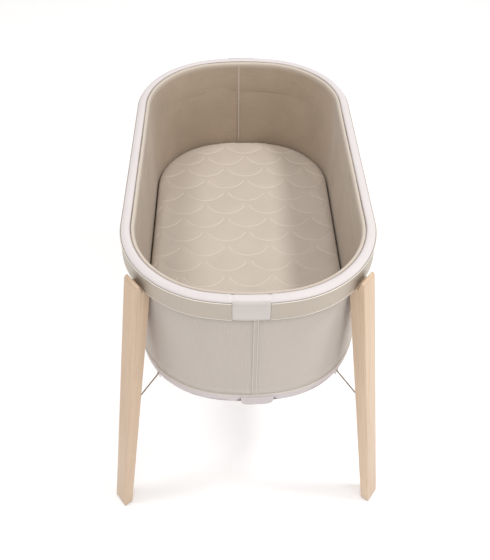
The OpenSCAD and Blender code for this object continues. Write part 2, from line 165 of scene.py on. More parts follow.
class Shader:
    """A material with one Principled shader, and the methods that add nodes to it."""

    def __init__(self, name: str) -> None:
        """Makes the material.

        Args:
            name: The finish's name.
        """
        self.material = bpy.data.materials.new(name)
        self.material.use_nodes = True
        self.tree = self.material.node_tree
        self.surface = next(n for n in self.tree.nodes if n.type == "BSDF_PRINCIPLED")

    def node(
        self, kind: str, settings: Optional[Dict[str, Any]] = None, values: Optional[Dict[Any, Any]] = None
    ) -> bpy.types.Node:
        """Adds a node.

        Args:
            kind: The node's type.
            settings: Properties, such as a Math node's operation, set before the sockets.
            values: What goes into each socket, by name or number: a value, a socket or a wire.

        Returns:
            The node.
        """
        made = self.tree.nodes.new(kind)
        for key, value in (settings or {}).items():
            setattr(made, key, value)
        for key, value in (values or {}).items():
            self.feed(made.inputs[key], value)
        return made

    def feed(self, socket: bpy.types.NodeSocket, value: Any) -> None:
        """Puts a value, a socket or a wire into a socket.

        Args:
            socket: The input.
            value: What goes in.
        """
        if isinstance(value, Wire):
            value = value.socket
        if isinstance(value, bpy.types.NodeSocket):
            self.tree.links.new(value, socket)
        else:
            socket.default_value = value

    def maths(self, operation: str, a: Number, b: Number = 0.0) -> Wire:
        """Adds a Math node.

        Args:
            operation: What it does.
            a: First value.
            b: Second value.

        Returns:
            The result.
        """
        made = self.node("ShaderNodeMath", {"operation": operation}, {0: a, 1: b})
        return Wire(self, made.outputs[0])

    def mix(self, factor: Number, a: Any, b: Any) -> bpy.types.NodeSocket:
        """Mixes two colours.

        Args:
            factor: Share of the second colour.
            a: First colour.
            b: Second colour.

        Returns:
            The mixed colour.
        """
        made = self.node("ShaderNodeMix", {"data_type": "RGBA"})
        for key, value in (("Factor", factor), ("A", a), ("B", b)):
            kind = "VALUE" if key == "Factor" else "RGBA"
            self.feed(next(s for s in made.inputs if s.name == key and s.type == kind), value)
        return next(s for s in made.outputs if s.type == "RGBA")

    def place(self, scale: Sequence[float] = (1, 1, 1)) -> bpy.types.NodeSocket:
        """Object coordinates, stretched along each axis by the scale."""
        source = self.node("ShaderNodeTexCoord").outputs["Object"]
        return self.node("ShaderNodeMapping", None, {"Vector": source, "Scale": scale}).outputs[0]

    def parts(self, vector: bpy.types.NodeSocket) -> List[Wire]:
        """A vector's x, y and z."""
        return [Wire(self, s) for s in self.node("ShaderNodeSeparateXYZ", None, {0: vector}).outputs]

    def flat(self) -> List[Wire]:
        """The piece's own flat coordinates, in metres: along the cloth and across it."""
        return self.parts(self.node("ShaderNodeUVMap", {"uv_map": "cloth"}).outputs[0])[:2]

    def noise(self, vector: Any, scale: float, detail: float = 3.0, roughness: float = 0.5) -> Wire:
        """Adds a noise.

        Args:
            vector: Where it is read.
            scale: How fine it is.
            detail: How many finer layers it has.
            roughness: How strong those are.

        Returns:
            A value round 0.5.
        """
        made = self.node(
            "ShaderNodeTexNoise",
            None,
            {"Vector": vector, "Scale": scale, "Detail": detail, "Roughness": roughness},
        )
        return Wire(self, made.outputs[0])

    def finish(
        self,
        colour: Any,
        roughness: Number,
        height: Optional[Wire] = None,
        depth: float = 0.0003,
        **fixed: float,
    ) -> bpy.types.Material:
        """Feeds the Principled shader.

        Args:
            colour: Base colour.
            roughness: Roughness.
            height: Height of the surface detail, from 0 to 1.
            depth: How deep that detail is, in metres.
            fixed: Values for the shader's other sockets, with _ for a space.

        Returns:
            The material.
        """
        self.feed(self.surface.inputs["Base Color"], colour)
        self.feed(self.surface.inputs["Roughness"], roughness)
        if height is not None:
            bump = self.node("ShaderNodeBump", None, {"Height": height, "Distance": depth, "Strength": 1.0})
            self.tree.links.new(bump.outputs[0], self.surface.inputs["Normal"])
        for key, value in fixed.items():
            self.surface.inputs[key.replace("_", " ")].default_value = value
        return self.material


class Lay(Enum):
    """How a cloth finish finds its threads: on the cloth's own flat map, or across the whole object."""

    FLAT = "flat"
    OBJECT = "object"


# --- Finishes ---------------------------------------------------------------------------------


@dataclass(frozen=True)
class PlainWeave:
    """A fine plain weave with slightly uneven threads."""

    name: str
    colour: Colour
    pitch: float = 1.1 * MM
    depth: float = 0.12 * MM
    cloudy: float = 0.06
    lay: Lay = Lay.FLAT
    sheen: float = 0.25

    def build(self) -> bpy.types.Material:
        """Makes the material."""
        s = Shader(self.name)
        along, across = s.flat() if self.lay is Lay.FLAT else s.parts(s.place())[:2]
        turn = math.pi / self.pitch
        warp, weft = (along * turn).sine(), (across * turn).sine()
        check = warp * weft * 0.5 + 0.5
        slub = s.noise(s.place(), 900.0, 2.0)
        height = check * 0.7 + (warp * 0.5 + 0.5) * 0.1 + (weft * 0.5 + 0.5) * 0.1 + slub * 0.3
        cloud = s.noise(s.place(), 14.0, 3.0).rise(0.3, 0.7)
        base = linear(self.colour)
        thread = s.mix(cloud, toned(base, 1 - self.cloudy), base)
        shade = s.mix(height * 0.35, toned(base, 0.90), thread)
        colour = s.mix(0.6, thread, shade)
        return s.finish(colour, 0.86 - height * 0.08, height, self.depth, Sheen_Weight=self.sheen)


@dataclass(frozen=True)
class SoftLiner:
    """A brushed padded cloth: a short nap, broad clouds and fine cross threads.

    Between the heights low and high it blends to a paler top colour: a painted highlight where the roll over
    the rim faces the light.
    """

    name: str
    colour: Colour
    lit_top_colour: Colour
    low: float = 0.787
    high: float = 0.803
    depth: float = 0.25 * MM

    def build(self) -> bpy.types.Material:
        """Makes the material."""
        s = Shader(self.name)
        thread = s.flat()[1].ribs(2.6 * MM)
        nap = s.noise(s.place((1, 1, 0.45)), 620.0, 3.0, 0.6)
        cloud = s.noise(s.place((1, 1, 0.7)), 9.0, 4.0, 0.55).rise(0.28, 0.72)
        streak = s.noise(s.place((1, 1, 9.0)), 26.0, 3.0, 0.6).rise(0.35, 0.7)
        base = linear(self.colour)
        colour = s.mix(cloud * 0.7 + streak * 0.3, toned(base, 0.86), toned(base, 1.06))
        level = s.parts(s.place())[2]
        # Painted highlight: the top of the roll is made paler, as if lit from above.
        colour = s.mix(level.rise(self.low, self.high), colour, linear(self.lit_top_colour))
        colour = s.mix(nap.rise(0.35, 0.7) * 0.22, colour, toned(base, 0.8))
        height = nap * 0.7 + thread * 0.25
        return s.finish(colour, 0.93 - nap * 0.06, height, self.depth, Sheen_Weight=0.35)


@dataclass(frozen=True)
class RibbedMesh:
    """An open spacer mesh with fine upright ribs and small holes.

    It is darker near its upper edge, between two given heights: a painted shadow of the rail above it.
    """

    name: str
    colour: Colour
    rail_shadow_band: Tuple[float, float] = (0.718, 0.742)
    pitch: float = 3.0 * MM
    depth: float = 0.45 * MM

    def build(self) -> bpy.types.Material:
        """Makes the material."""
        s = Shader(self.name)
        along, across = s.flat()
        rib = along.ribs(self.pitch) ** 1.4
        rung = across.ribs(self.pitch * 0.8)
        hole = (1 - rib) * (1 - rung)
        fuzz = s.noise(s.place(), 700.0, 2.0)
        cloud = s.noise(s.place((1, 1, 0.35)), 7.0, 3.0).rise(0.3, 0.7)
        base = linear(self.colour)
        dark = toned(base, 0.62)
        body = s.mix(cloud, toned(base, 0.94), base)
        # Painted shade: the holes are darkened for the shade seen through them.
        colour = s.mix(hole.rise(0.25, 0.9) * 0.55, body, dark)
        level = s.parts(s.place())[2]
        # Painted shadow: the band just under the rail is darkened as if the rail shades it.
        colour = s.mix(level.rise(*self.rail_shadow_band) * 0.55, colour, dark)
        height = rib * 0.75 + rung * 0.15 + fuzz * 0.2
        return s.finish(colour, 0.84 - rib * 0.06, height, self.depth, Sheen_Weight=0.2)


@dataclass(frozen=True)
class Knit:
    """A fine jersey knit with soft puffs, for the mattress."""

    name: str
    colour: Colour
    depth: float = 0.2 * MM
    wale: float = 1.6 * MM
    course: float = 1.3 * MM
    bow: float = 0.3 * MM

    def build(self) -> bpy.types.Material:
        """Makes the material."""
        s = Shader(self.name)
        x, y = s.parts(s.place())[:2]
        wale = (x * (2 * math.pi / self.wale)).sine()
        course = ((y + wale * self.bow) * (2 * math.pi / self.course)).sine()
        loop = (wale * 0.5 + 0.5) * 0.6 + course * 0.2 + 0.2
        cloud = s.noise(s.place(), 11.0, 3.0).rise(0.3, 0.7)
        fuzz = s.noise(s.place(), 800.0, 2.0)
        base = linear(self.colour)
        colour = s.mix(cloud, toned(base, 0.95), base)
        # Painted shade: darker between the knit loops, where they dip.
        colour = s.mix((1 - loop) * 0.18, colour, toned(base, 0.75))
        height = loop * 0.8 + fuzz * 0.25
        return s.finish(colour, 0.9 - loop * 0.06, height, self.depth, Sheen_Weight=0.3)


@dataclass(frozen=True)
class Cord:
    """A corded edge: a bias strip twisted along its run."""

    name: str
    colour: Colour
    pitch: float = 2.4 * MM
    depth: float = 0.15 * MM

    def build(self) -> bpy.types.Material:
        """Makes the material."""
        s = Shader(self.name)
        along, across = s.flat()
        twist = (along + across * 0.8).ribs(self.pitch)
        fuzz = s.noise(s.place(), 900.0, 2.0)
        base = linear(self.colour)
        # Painted shade: darker in the grooves between the twists.
        colour = s.mix(twist * 0.7, toned(base, 0.86), base)
        height = twist * 0.7 + fuzz * 0.3
        return s.finish(colour, 0.88 - twist * 0.05, height, self.depth, Sheen_Weight=0.2)


@dataclass(frozen=True)
class Beech:
    """Steamed beech under a clear matt lacquer: pale, with fine grain lines and short dark ray flecks."""

    name: str
    colour: Colour
    dark: Colour
    seed: float = 0.0

    def build(self) -> bpy.types.Material:
        """Makes the material."""
        s = Shader(self.name)
        grain = s.node("ShaderNodeAttribute", {"attribute_name": "grain"}).outputs["Vector"]

        def along(stretch: Sequence[float]) -> bpy.types.NodeSocket:
            """The leg's own coordinates with the stretch given."""
            start = (self.seed, self.seed * 0.7, self.seed * 0.3)
            values = {"Vector": grain, "Scale": stretch, "Location": start}
            return s.node("ShaderNodeMapping", None, values).outputs[0]

        broad = s.noise(along((26, 26, 2.2)), 1.0, 3.0, 0.5)
        lines = s.noise(along((260, 260, 5.0)), 1.0, 4.0, 0.6)
        pores = s.noise(along((1500, 1500, 60.0)), 1.0, 2.0, 0.6)
        cells = {"Vector": along((900, 900, 210.0)), "Scale": 1.0}
        fleck = s.node("ShaderNodeTexVoronoi", {"feature": "F1"}, cells)
        flecks = 1 - Wire(s, fleck.outputs["Distance"]).rise(0.12, 0.32)
        chosen = s.noise(along((340, 340, 90.0)), 1.0, 1.0).rise(0.52, 0.6)
        marks = flecks * chosen
        pale, deep = linear(self.colour), linear(self.dark)
        between = tuple((a + b) / 2 for a, b in zip(pale, deep))
        colour = s.mix(broad.rise(0.3, 0.7) * 0.6, pale, between)
        colour = s.mix(lines.rise(0.45, 0.75) * 0.42, colour, deep)
        colour = s.mix(marks * 0.5, colour, toned(deep, 0.62))
        colour = s.mix(pores.rise(0.5, 0.75) * 0.15, colour, toned(deep, 0.8))
        height = lines * 0.4 + pores * 0.35 - marks * 0.4 + 0.3
        rough = 0.46 + lines * 0.12
        return s.finish(colour, rough, height, 0.08 * MM, Specular_IOR_Level=0.4, Coat_Weight=0.08)


@dataclass(frozen=True)
class Metal:
    """A metal finish: how rough, how bright, and how strongly it is brushed."""

    name: str
    colour: Colour
    rough: float
    metallic: float = 1.0
    brushed: Tuple[float, float, float] = (1, 1, 1)
    depth: float = 0.02 * MM

    def build(self) -> bpy.types.Material:
        """Makes the material."""
        s = Shader(self.name)
        fine = s.noise(s.place(self.brushed), 420.0, 3.0, 0.6)
        broad = s.noise(s.place(), 9.0, 2.0).rise(0.3, 0.7)
        base = linear(self.colour)
        colour = s.mix(broad * 0.5 + fine * 0.3, toned(base, 0.9), base)
        rough = fine * 0.12 + broad * 0.05 + (self.rough - 0.085)
        return s.finish(colour, rough, fine, self.depth, Metallic=self.metallic)


@dataclass(frozen=True)
class Moulded:
    """A moulded or pressed dull material: a fine grain and a slightly uneven shade."""

    name: str
    colour: Colour
    rough: float = 0.6
    grain: float = 900.0
    depth: float = 0.08 * MM
    speckle: float = 0.2

    def build(self) -> bpy.types.Material:
        """Makes the material."""
        s = Shader(self.name)
        grain = s.noise(s.place(), self.grain, 3.0, 0.6)
        patch = s.noise(s.place(), 30.0, 3.0).rise(0.3, 0.7)
        base = linear(self.colour)
        colour = s.mix(patch * 0.5, base, toned(base, 0.88))
        colour = s.mix(grain.rise(0.5, 0.7) * self.speckle, colour, toned(base, 0.7))
        return s.finish(colour, self.rough + grain * 0.1, grain, self.depth)


class Finishes:
    """Every finish of the bassinet, each built once."""

    def __init__(self) -> None:
        """Builds the materials."""
        self.rim = PlainWeave("rim_cloth", (0.862, 0.834, 0.832), cloudy=0.04).build()
        self.tab = PlainWeave("tab_cloth", (0.80, 0.775, 0.755), 1.3 * MM, cloudy=0.05).build()
        self.bottom = PlainWeave("bottom_cloth", (0.795, 0.755, 0.76), pitch=1.2 * MM).build()
        self.panel = PlainWeave("panel_cloth", (0.80, 0.76, 0.765), 1.4 * MM, lay=Lay.OBJECT).build()
        self.liner = SoftLiner("liner_cloth", LINER, LINER).build()
        self.mesh = RibbedMesh("ribbed_mesh", (0.765, 0.725, 0.69)).build()
        self.knit = Knit("mattress_knit", (0.83, 0.785, 0.735)).build()
        self.quilting = Cord("quilting_thread", (0.93, 0.895, 0.855), pitch=1.6 * MM).build()
        self.thread = Cord("sewing_thread", (0.84, 0.80, 0.75), pitch=0.8 * MM).build()
        self.dark_thread = Cord("dark_thread", (0.60, 0.52, 0.45), pitch=0.8 * MM).build()
        self.hem = Cord("hem_cord", (0.85, 0.81, 0.76)).build()
        # The liner roll's cloth: the liner colour below, with a painted highlight on its top.
        self.painted_lit_roll = SoftLiner("painted_lit_roll_cloth", LINER, (0.80, 0.755, 0.705)).build()
        self.welt = Cord("welt_cord", (0.835, 0.805, 0.77), pitch=1.8 * MM).build()
        # The seam cord is real piping; its darker colour is partly painted shade standing in for the shade in
        # the seam's groove.
        self.rim_seam = Cord("rim_seam_cord", (0.72, 0.66, 0.61), pitch=1.4 * MM).build()
        self.tape = PlainWeave("seam_tape", (0.765, 0.73, 0.695), 1.5 * MM, 0.2 * MM).build()
        self.liner_tape = PlainWeave("liner_seam_tape", (0.80, 0.745, 0.69), pitch=1.3 * MM).build()
        # The first tone, for the front-left leg, is darker as painted shade for the leg on the dimmer side;
        # the other three differ a little.
        tones = ((0.81, 0.715, 0.62), (0.84, 0.75, 0.655), (0.835, 0.745, 0.645), (0.845, 0.75, 0.65))
        deep = (0.73, 0.60, 0.48)
        self.beech = [Beech(f"beech_{i}", tone, deep, 1.7 * i).build() for i, tone in enumerate(tones)]
        self.rail = Metal("satin_rail", (0.73, 0.69, 0.64), 0.48, 0.50, (1, 1, 12)).build()
        # Painted highlight: the edge beads are paler than the rail, standing in for the light they catch.
        self.rail_edge_highlight = Metal("edge_bead_painted_highlight", (0.93, 0.90, 0.86), 0.42, 0.35).build()
        self.steel = Metal("zinc_plated_steel", (0.70, 0.71, 0.73), 0.36).build()
        self.screw = Metal("screw_steel", (0.52, 0.53, 0.55), 0.32).build()
        self.coated = Moulded("coated_steel", (0.84, 0.82, 0.80), 0.45, 600.0, 0.03 * MM, 0.1).build()
        self.wire = Metal("bronze_wire", (0.52, 0.45, 0.37), 0.38, 0.9).build()
        self.core = Moulded("core_plastic", (0.42, 0.40, 0.38), 0.55).build()
        self.glide = Moulded("glide_plastic", (0.30, 0.26, 0.22), 0.6).build()
        self.board = Moulded("base_board", (0.78, 0.66, 0.49), 0.7, 260.0, 0.15 * MM, 0.45).build()


# --- The rim's line ---------------------------------------------------------------------------


@dataclass
class RimPath:
    """The rail's outer line: straight sides, corner arcs and shallow end arcs, all tangent.

    Every layer of the basket is a parallel of this line, so a point is a run along it and a distance out from
    it. An end arc meets a corner arc where the line from their centres rises over runs as meet says.
    """

    half_width: float
    top: float
    half_side: float = 0.2275
    corner_radius: float = 0.226
    end_radius: float = 0.470
    meet: Tuple[int, int] = (11, 60)
    spans: List[Tuple[Tuple[float, float], float, float, float]] = field(default_factory=list)
    round: float = 0.0

    def __post_init__(self) -> None:
        """Works out the spans, each as (centre, radius, first angle, length); a straight has no radius."""
        cx = self.half_width - self.corner_radius
        aside, ahead = self.meet
        sweep = math.atan2(aside, ahead)
        end_y = self.half_side - cx * ahead / aside
        end, corner = self.end_radius * sweep, self.corner_radius * (math.pi / 2 - sweep)
        quarter = math.pi / 2
        self.spans = [
            ((0.0, -end_y), self.end_radius, -quarter, end),
            ((cx, -self.half_side), self.corner_radius, -quarter + sweep, corner),
            ((self.half_width, -self.half_side), 0.0, 0.0, 2 * self.half_side),
            ((cx, self.half_side), self.corner_radius, 0.0, corner),
            ((0.0, end_y), self.end_radius, quarter - sweep, 2 * end),
            ((-cx, self.half_side), self.corner_radius, quarter + sweep, corner),
            ((-self.half_width, self.half_side), 0.0, math.pi, 2 * self.half_side),
            ((-cx, -self.half_side), self.corner_radius, math.pi, corner),
            ((0.0, -end_y), self.end_radius, -quarter - sweep, end),
        ]
        self.round = sum(span[3] for span in self.spans)

    def at(self, run: np.ndarray, out: np.ndarray) -> Pair:
        """Plan position of points.

        Args:
            run: Distances along the line.
            out: Distances out from it.

        Returns:
            The x and y of each point.
        """
        run, out = np.broadcast_arrays(np.mod(run, self.round), out)
        x, y = np.zeros(run.shape), np.zeros(run.shape)
        start = 0.0
        for (cx, cy), radius, first, length in self.spans:
            inside = (run >= start - HAIR) & (run <= start + length + HAIR)
            d, t = run[inside] - start, out[inside]
            if radius:
                a = first + d / radius
                x[inside], y[inside] = cx + (radius + t) * np.cos(a), cy + (radius + t) * np.sin(a)
            else:
                side = math.cos(first)
                x[inside], y[inside] = cx + side * t, cy + side * d
            start += length
        return x, y

    def outline(self, out: float, count: int) -> np.ndarray:
        """Points of a whole parallel, as an array of x and y."""
        x, y = self.at(np.arange(count) * self.round / count, np.full(count, out))
        return np.stack([x, y], 1)


def new_piece(
    name: str,
    points: np.ndarray,
    faces: Sequence[Sequence[int]],
    material: bpy.types.Material,
    smooth: bool = True,
) -> bpy.types.Object:
    """Makes a mesh object.

    Args:
        name: The object's name.
        points: Its vertices.
        faces: Its faces.
        material: Its finish.
        smooth: True to shade it smooth.

    Returns:
        The object, in the scene.
    """
    mesh = bpy.data.meshes.new(name)
    mesh.from_pydata([tuple(p) for p in points], [], [list(f) for f in faces])
    mesh.update()
    if smooth:
        mesh.polygons.foreach_set("use_smooth", [True] * len(mesh.polygons))
    mesh.materials.append(material)
    made = bpy.data.objects.new(name, mesh)
    bpy.context.scene.collection.objects.link(made)
    return made


def points_of(piece: bpy.types.Object) -> np.ndarray:
    """The places of a piece's points, one row each."""
    return np.array([v.co[:] for v in piece.data.vertices])


def rounded(corners: Profile, radius: float, steps: int = 4) -> Outline:
    """Rounds the corners of a closed profile.

    Args:
        corners: The profile's corners, counter-clockwise.
        radius: Radius of each corner, less on a short edge.
        steps: Points on each rounded corner, less one.

    Returns:
        The rounded profile.
    """
    made: Outline = []
    count = len(corners)
    for i, corner in enumerate(corners):
        here = Vector(corner)
        back, ahead = Vector(corners[i - 1]) - here, Vector(corners[(i + 1) % count]) - here
        reach = min(radius, back.length * 0.48, ahead.length * 0.48)
        a, b = here + back.normalized() * reach, here + ahead.normalized() * reach
        for k in range(steps + 1):
            f = k / steps
            made.append(tuple(a * (1 - f) ** 2 + here * 2 * f * (1 - f) + b * f**2))
    return made


def disc(out: float, up: float, radius: float, count: int = 12) -> Outline:
    """A round profile, counter-clockwise."""
    turns = [2 * math.pi * k / count for k in range(count)]
    return [(out + radius * math.cos(a), up + radius * math.sin(a)) for a in turns]


@dataclass
class Sweep:
    """Carries a closed profile along the rim's line, or along a part of it."""

    path: RimPath
    finish: bpy.types.Material

    def make(
        self,
        name: str,
        profile: Profile,
        first: float = 0.0,
        last: Optional[float] = None,
        step: float = 0.008,
        shift: Optional[Shift] = None,
    ) -> bpy.types.Object:
        """Makes the swept piece.

        Args:
            name: The object's name.
            profile: Closed profile, counter-clockwise with out to the right and up upwards.
            first: Run where it starts.
            last: Run where it ends; None for the whole way round.
            step: Spacing of its rings.
            shift: From runs, outs and ups, how far each point moves out and up.

        Returns:
            The object, with a flat map in metres called cloth.
        """
        closed = last is None
        length = self.path.round if closed else last - first
        rings = max(4, int(round(length / step)))
        runs = first + np.arange(rings if closed else rings + 1) * length / rings
        sides = len(profile)
        out = np.tile(np.array([p[0] for p in profile]), (len(runs), 1))
        up = np.tile(np.array([p[1] for p in profile]), (len(runs), 1))
        grid = np.tile(runs[:, None], (1, sides))
        if shift:
            more_out, more_up = shift(grid, out, up)
            out, up = out + more_out, up + more_up
        x, y = self.path.at(grid, out)
        points = np.stack([x, y, self.path.top + up], 2).reshape(-1, 3)
        faces, maps = [], []
        lengths = [math.dist(profile[j], profile[(j + 1) % sides]) for j in range(sides)]
        across = np.concatenate([[0.0], np.cumsum(lengths)])
        for i in range(rings):
            k = (i + 1) % len(runs)
            u0, u1 = first + i * length / rings, first + (i + 1) * length / rings
            for j in range(sides):
                n = (j + 1) % sides
                faces.append((i * sides + j, k * sides + j, k * sides + n, i * sides + n))
                maps += [(u0, across[j]), (u1, across[j]), (u1, across[j + 1]), (u0, across[j + 1])]
        if not closed:
            last_ring = (len(runs) - 1) * sides
            faces.append(tuple(range(sides)))
            faces.append(tuple(last_ring + j for j in reversed(range(sides))))
            maps += [(p[0], p[1]) for p in profile]
            maps += [(p[0], p[1]) for p in reversed(list(profile))]
        made = new_piece(name, points, faces, self.finish)
        layer = made.data.uv_layers.new(name="cloth")
        layer.data.foreach_set("uv", np.array(maps, np.float32).ravel())
        if not closed:
            sharpen_caps(made, 2)
        return made


def sharpen_caps(piece: bpy.types.Object, caps: int) -> None:
    """Leaves the last faces of a mesh flat, so that the ends of a swept piece stay crisp.

    Args:
        piece: The swept piece.
        caps: How many of its last faces are ends.
    """
    for face in list(piece.data.polygons)[-caps:]:
        face.use_smooth = False
        for pair in face.edge_keys:
            key = tuple(sorted(pair))
            piece.data.edges[piece.data.edge_keys.index(key)].use_edge_sharp = True


def wave(run: np.ndarray, round_it: float, parts: Sequence[Tuple[int, float, float]]) -> np.ndarray:
    """A smooth wave that closes on itself round the rim.

    Args:
        run: Distances along the rim.
        round_it: The rim's whole length.
        parts: Waves as (how many round the rim, height, turn).

    Returns:
        The wave's height at each run.
    """
    a = run * (2 * math.pi / round_it)
    return sum(h * np.sin(n * a + turn) for n, h, turn in parts)


def bump_at(run: np.ndarray, centre: float, width: float) -> np.ndarray:
    """A smooth hump of height 1 round a run."""
    return np.exp(-(((run - centre) / width) ** 2))


def settle(piece: bpy.types.Object, body: str, slot: str, *nodes: str) -> bpy.types.Object:
    """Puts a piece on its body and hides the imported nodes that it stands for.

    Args:
        piece: The piece.
        body: The body that it moves with.
        slot: Its material slot in the record; not used.
        nodes: The nodes that it replaces.

    Returns:
        The piece.
    """
    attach(piece, body)
    if nodes:
        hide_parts(*nodes)
    log.info("made %s on %s, %d faces", piece.name, body, len(piece.data.polygons))
    return piece


# --- Stitches and quilting with geometry nodes ---------------------------------------------------


class NodeTree:
    """A geometry node tree under construction."""

    def __init__(self, name: str) -> None:
        """Makes an empty tree with a geometry input and output."""
        self.tree = bpy.data.node_groups.new(name, "GeometryNodeTree")
        self.tree.interface.new_socket("Geometry", in_out="INPUT", socket_type="NodeSocketGeometry")
        self.tree.interface.new_socket("Geometry", in_out="OUTPUT", socket_type="NodeSocketGeometry")
        self.entry = self.tree.nodes.new("NodeGroupInput")
        self.exit = self.tree.nodes.new("NodeGroupOutput")

    def size(self, name: str, kind: str = "NodeSocketFloat") -> str:
        """Adds a named input.

        Args:
            name: The input's name.
            kind: The socket's type.

        Returns:
            The input's identifier.
        """
        return self.tree.interface.new_socket(name, in_out="INPUT", socket_type=kind).identifier

    def given(self, name: str) -> bpy.types.NodeSocket:
        """The group input's socket of that name."""
        return self.entry.outputs[name]

    def add(
        self, kind: str, settings: Optional[Dict[str, Any]] = None, values: Optional[Dict[Any, Any]] = None
    ) -> bpy.types.Node:
        """Adds a node.

        Args:
            kind: The node's type.
            settings: Properties, set first.
            values: What goes into each socket, by name or number.

        Returns:
            The node.
        """
        made = self.tree.nodes.new(kind)
        for key, value in (settings or {}).items():
            setattr(made, key, value)
        for key, value in (values or {}).items():
            if isinstance(value, bpy.types.NodeSocket):
                self.tree.links.new(value, made.inputs[key])
            else:
                made.inputs[key].default_value = value
        return made

    def dress(self, last: bpy.types.Node) -> None:
        """Ends the tree: sets the given finish on what a node makes.

        Args:
            last: The node.
        """
        values = {"Geometry": last.outputs[0], "Material": self.given("Finish")}
        dressed = self.add("GeometryNodeSetMaterial", None, values)
        self.tree.links.new(dressed.outputs[0], self.exit.inputs[0])

    def apply(self, host: bpy.types.Object, inputs: Dict[str, Any], name: str) -> bpy.types.Object:
        """Runs the tree on a host object and keeps the result as a plain mesh.

        Args:
            host: The object that the tree works on; it is removed.
            inputs: Values by input identifier.
            name: The new piece's name.

        Returns:
            The plain piece.
        """
        modifier = host.modifiers.new("maker", "NODES")
        modifier.node_group = self.tree
        for key, value in inputs.items():
            modifier[key] = value
        graph = bpy.context.evaluated_depsgraph_get()
        graph.update()
        mesh = bpy.data.meshes.new_from_object(host.evaluated_get(graph), depsgraph=graph)
        mesh.name = name
        made = bpy.data.objects.new(name, mesh)
        bpy.context.scene.collection.objects.link(made)
        host.modifiers.remove(modifier)
        bpy.data.objects.remove(host)
        return made


class StitchRow:
    """Rows of machine stitches along lines: a short round thread that lies in the cloth at each step."""

    SHARE: float = 0.42
    THREAD: float = 0.32 * MM

    def __init__(self) -> None:
        """Builds the tree."""
        t = NodeTree("stitch_row")
        self.tree = t
        self.pitch = t.size("Pitch")
        self.length = t.size("Stitch Length")
        self.thick = t.size("Thread Radius")
        self.finish = t.size("Finish", "NodeSocketMaterial")
        line = t.add("GeometryNodeMeshToCurve", None, {"Mesh": t.given("Geometry")})
        spaced = t.add(
            "GeometryNodeResampleCurve",
            {"mode": "LENGTH"},
            {"Curve": line.outputs[0], "Length": t.given("Pitch")},
        )
        thread = t.add("GeometryNodeMeshUVSphere", None, {"Segments": 6, "Rings": 4, "Radius": 1.0})
        thick = t.given("Thread Radius")
        shape = t.add("ShaderNodeCombineXYZ", None, {"X": thick, "Y": thick, "Z": t.given("Stitch Length")})
        size = {"Geometry": thread.outputs[0], "Scale": shape.outputs[0]}
        sized = t.add("GeometryNodeTransform", None, size)
        tangent = t.add("GeometryNodeInputTangent").outputs[0]
        facing = t.add("FunctionNodeAlignRotationToVector", {"axis": "Z"}, {"Vector": tangent})
        placed = t.add(
            "GeometryNodeInstanceOnPoints",
            None,
            {"Points": spaced.outputs[0], "Instance": sized.outputs[0], "Rotation": facing.outputs[0]},
        )
        real = t.add("GeometryNodeRealizeInstances", None, {"Geometry": placed.outputs[0]})
        t.dress(real)

    def along(
        self, name: str, lines: Sequence[np.ndarray], finish: bpy.types.Material, pitch: float = 3.4 * MM
    ) -> bpy.types.Object:
        """Sews along lines.

        Args:
            name: The new piece's name.
            lines: Each line as an array of points.
            finish: The thread's finish.
            pitch: Length of a stitch with its gap.

        Returns:
            The stitches as one piece.
        """
        mesh = bpy.data.meshes.new(name + "_line")
        points: List[Tuple[float, float, float]] = []
        edges: List[Tuple[int, int]] = []
        for line in lines:
            start = len(points)
            points += [tuple(p) for p in line]
            edges += [(start + k, start + k + 1) for k in range(len(line) - 1)]
        mesh.from_pydata(points, edges, [])
        host = bpy.data.objects.new(name + "_line", mesh)
        bpy.context.scene.collection.objects.link(host)
        inputs = {
            self.pitch: pitch,
            self.length: pitch * self.SHARE,
            self.thick: self.THREAD,
            self.finish: finish,
        }
        return self.tree.apply(host, inputs, name)


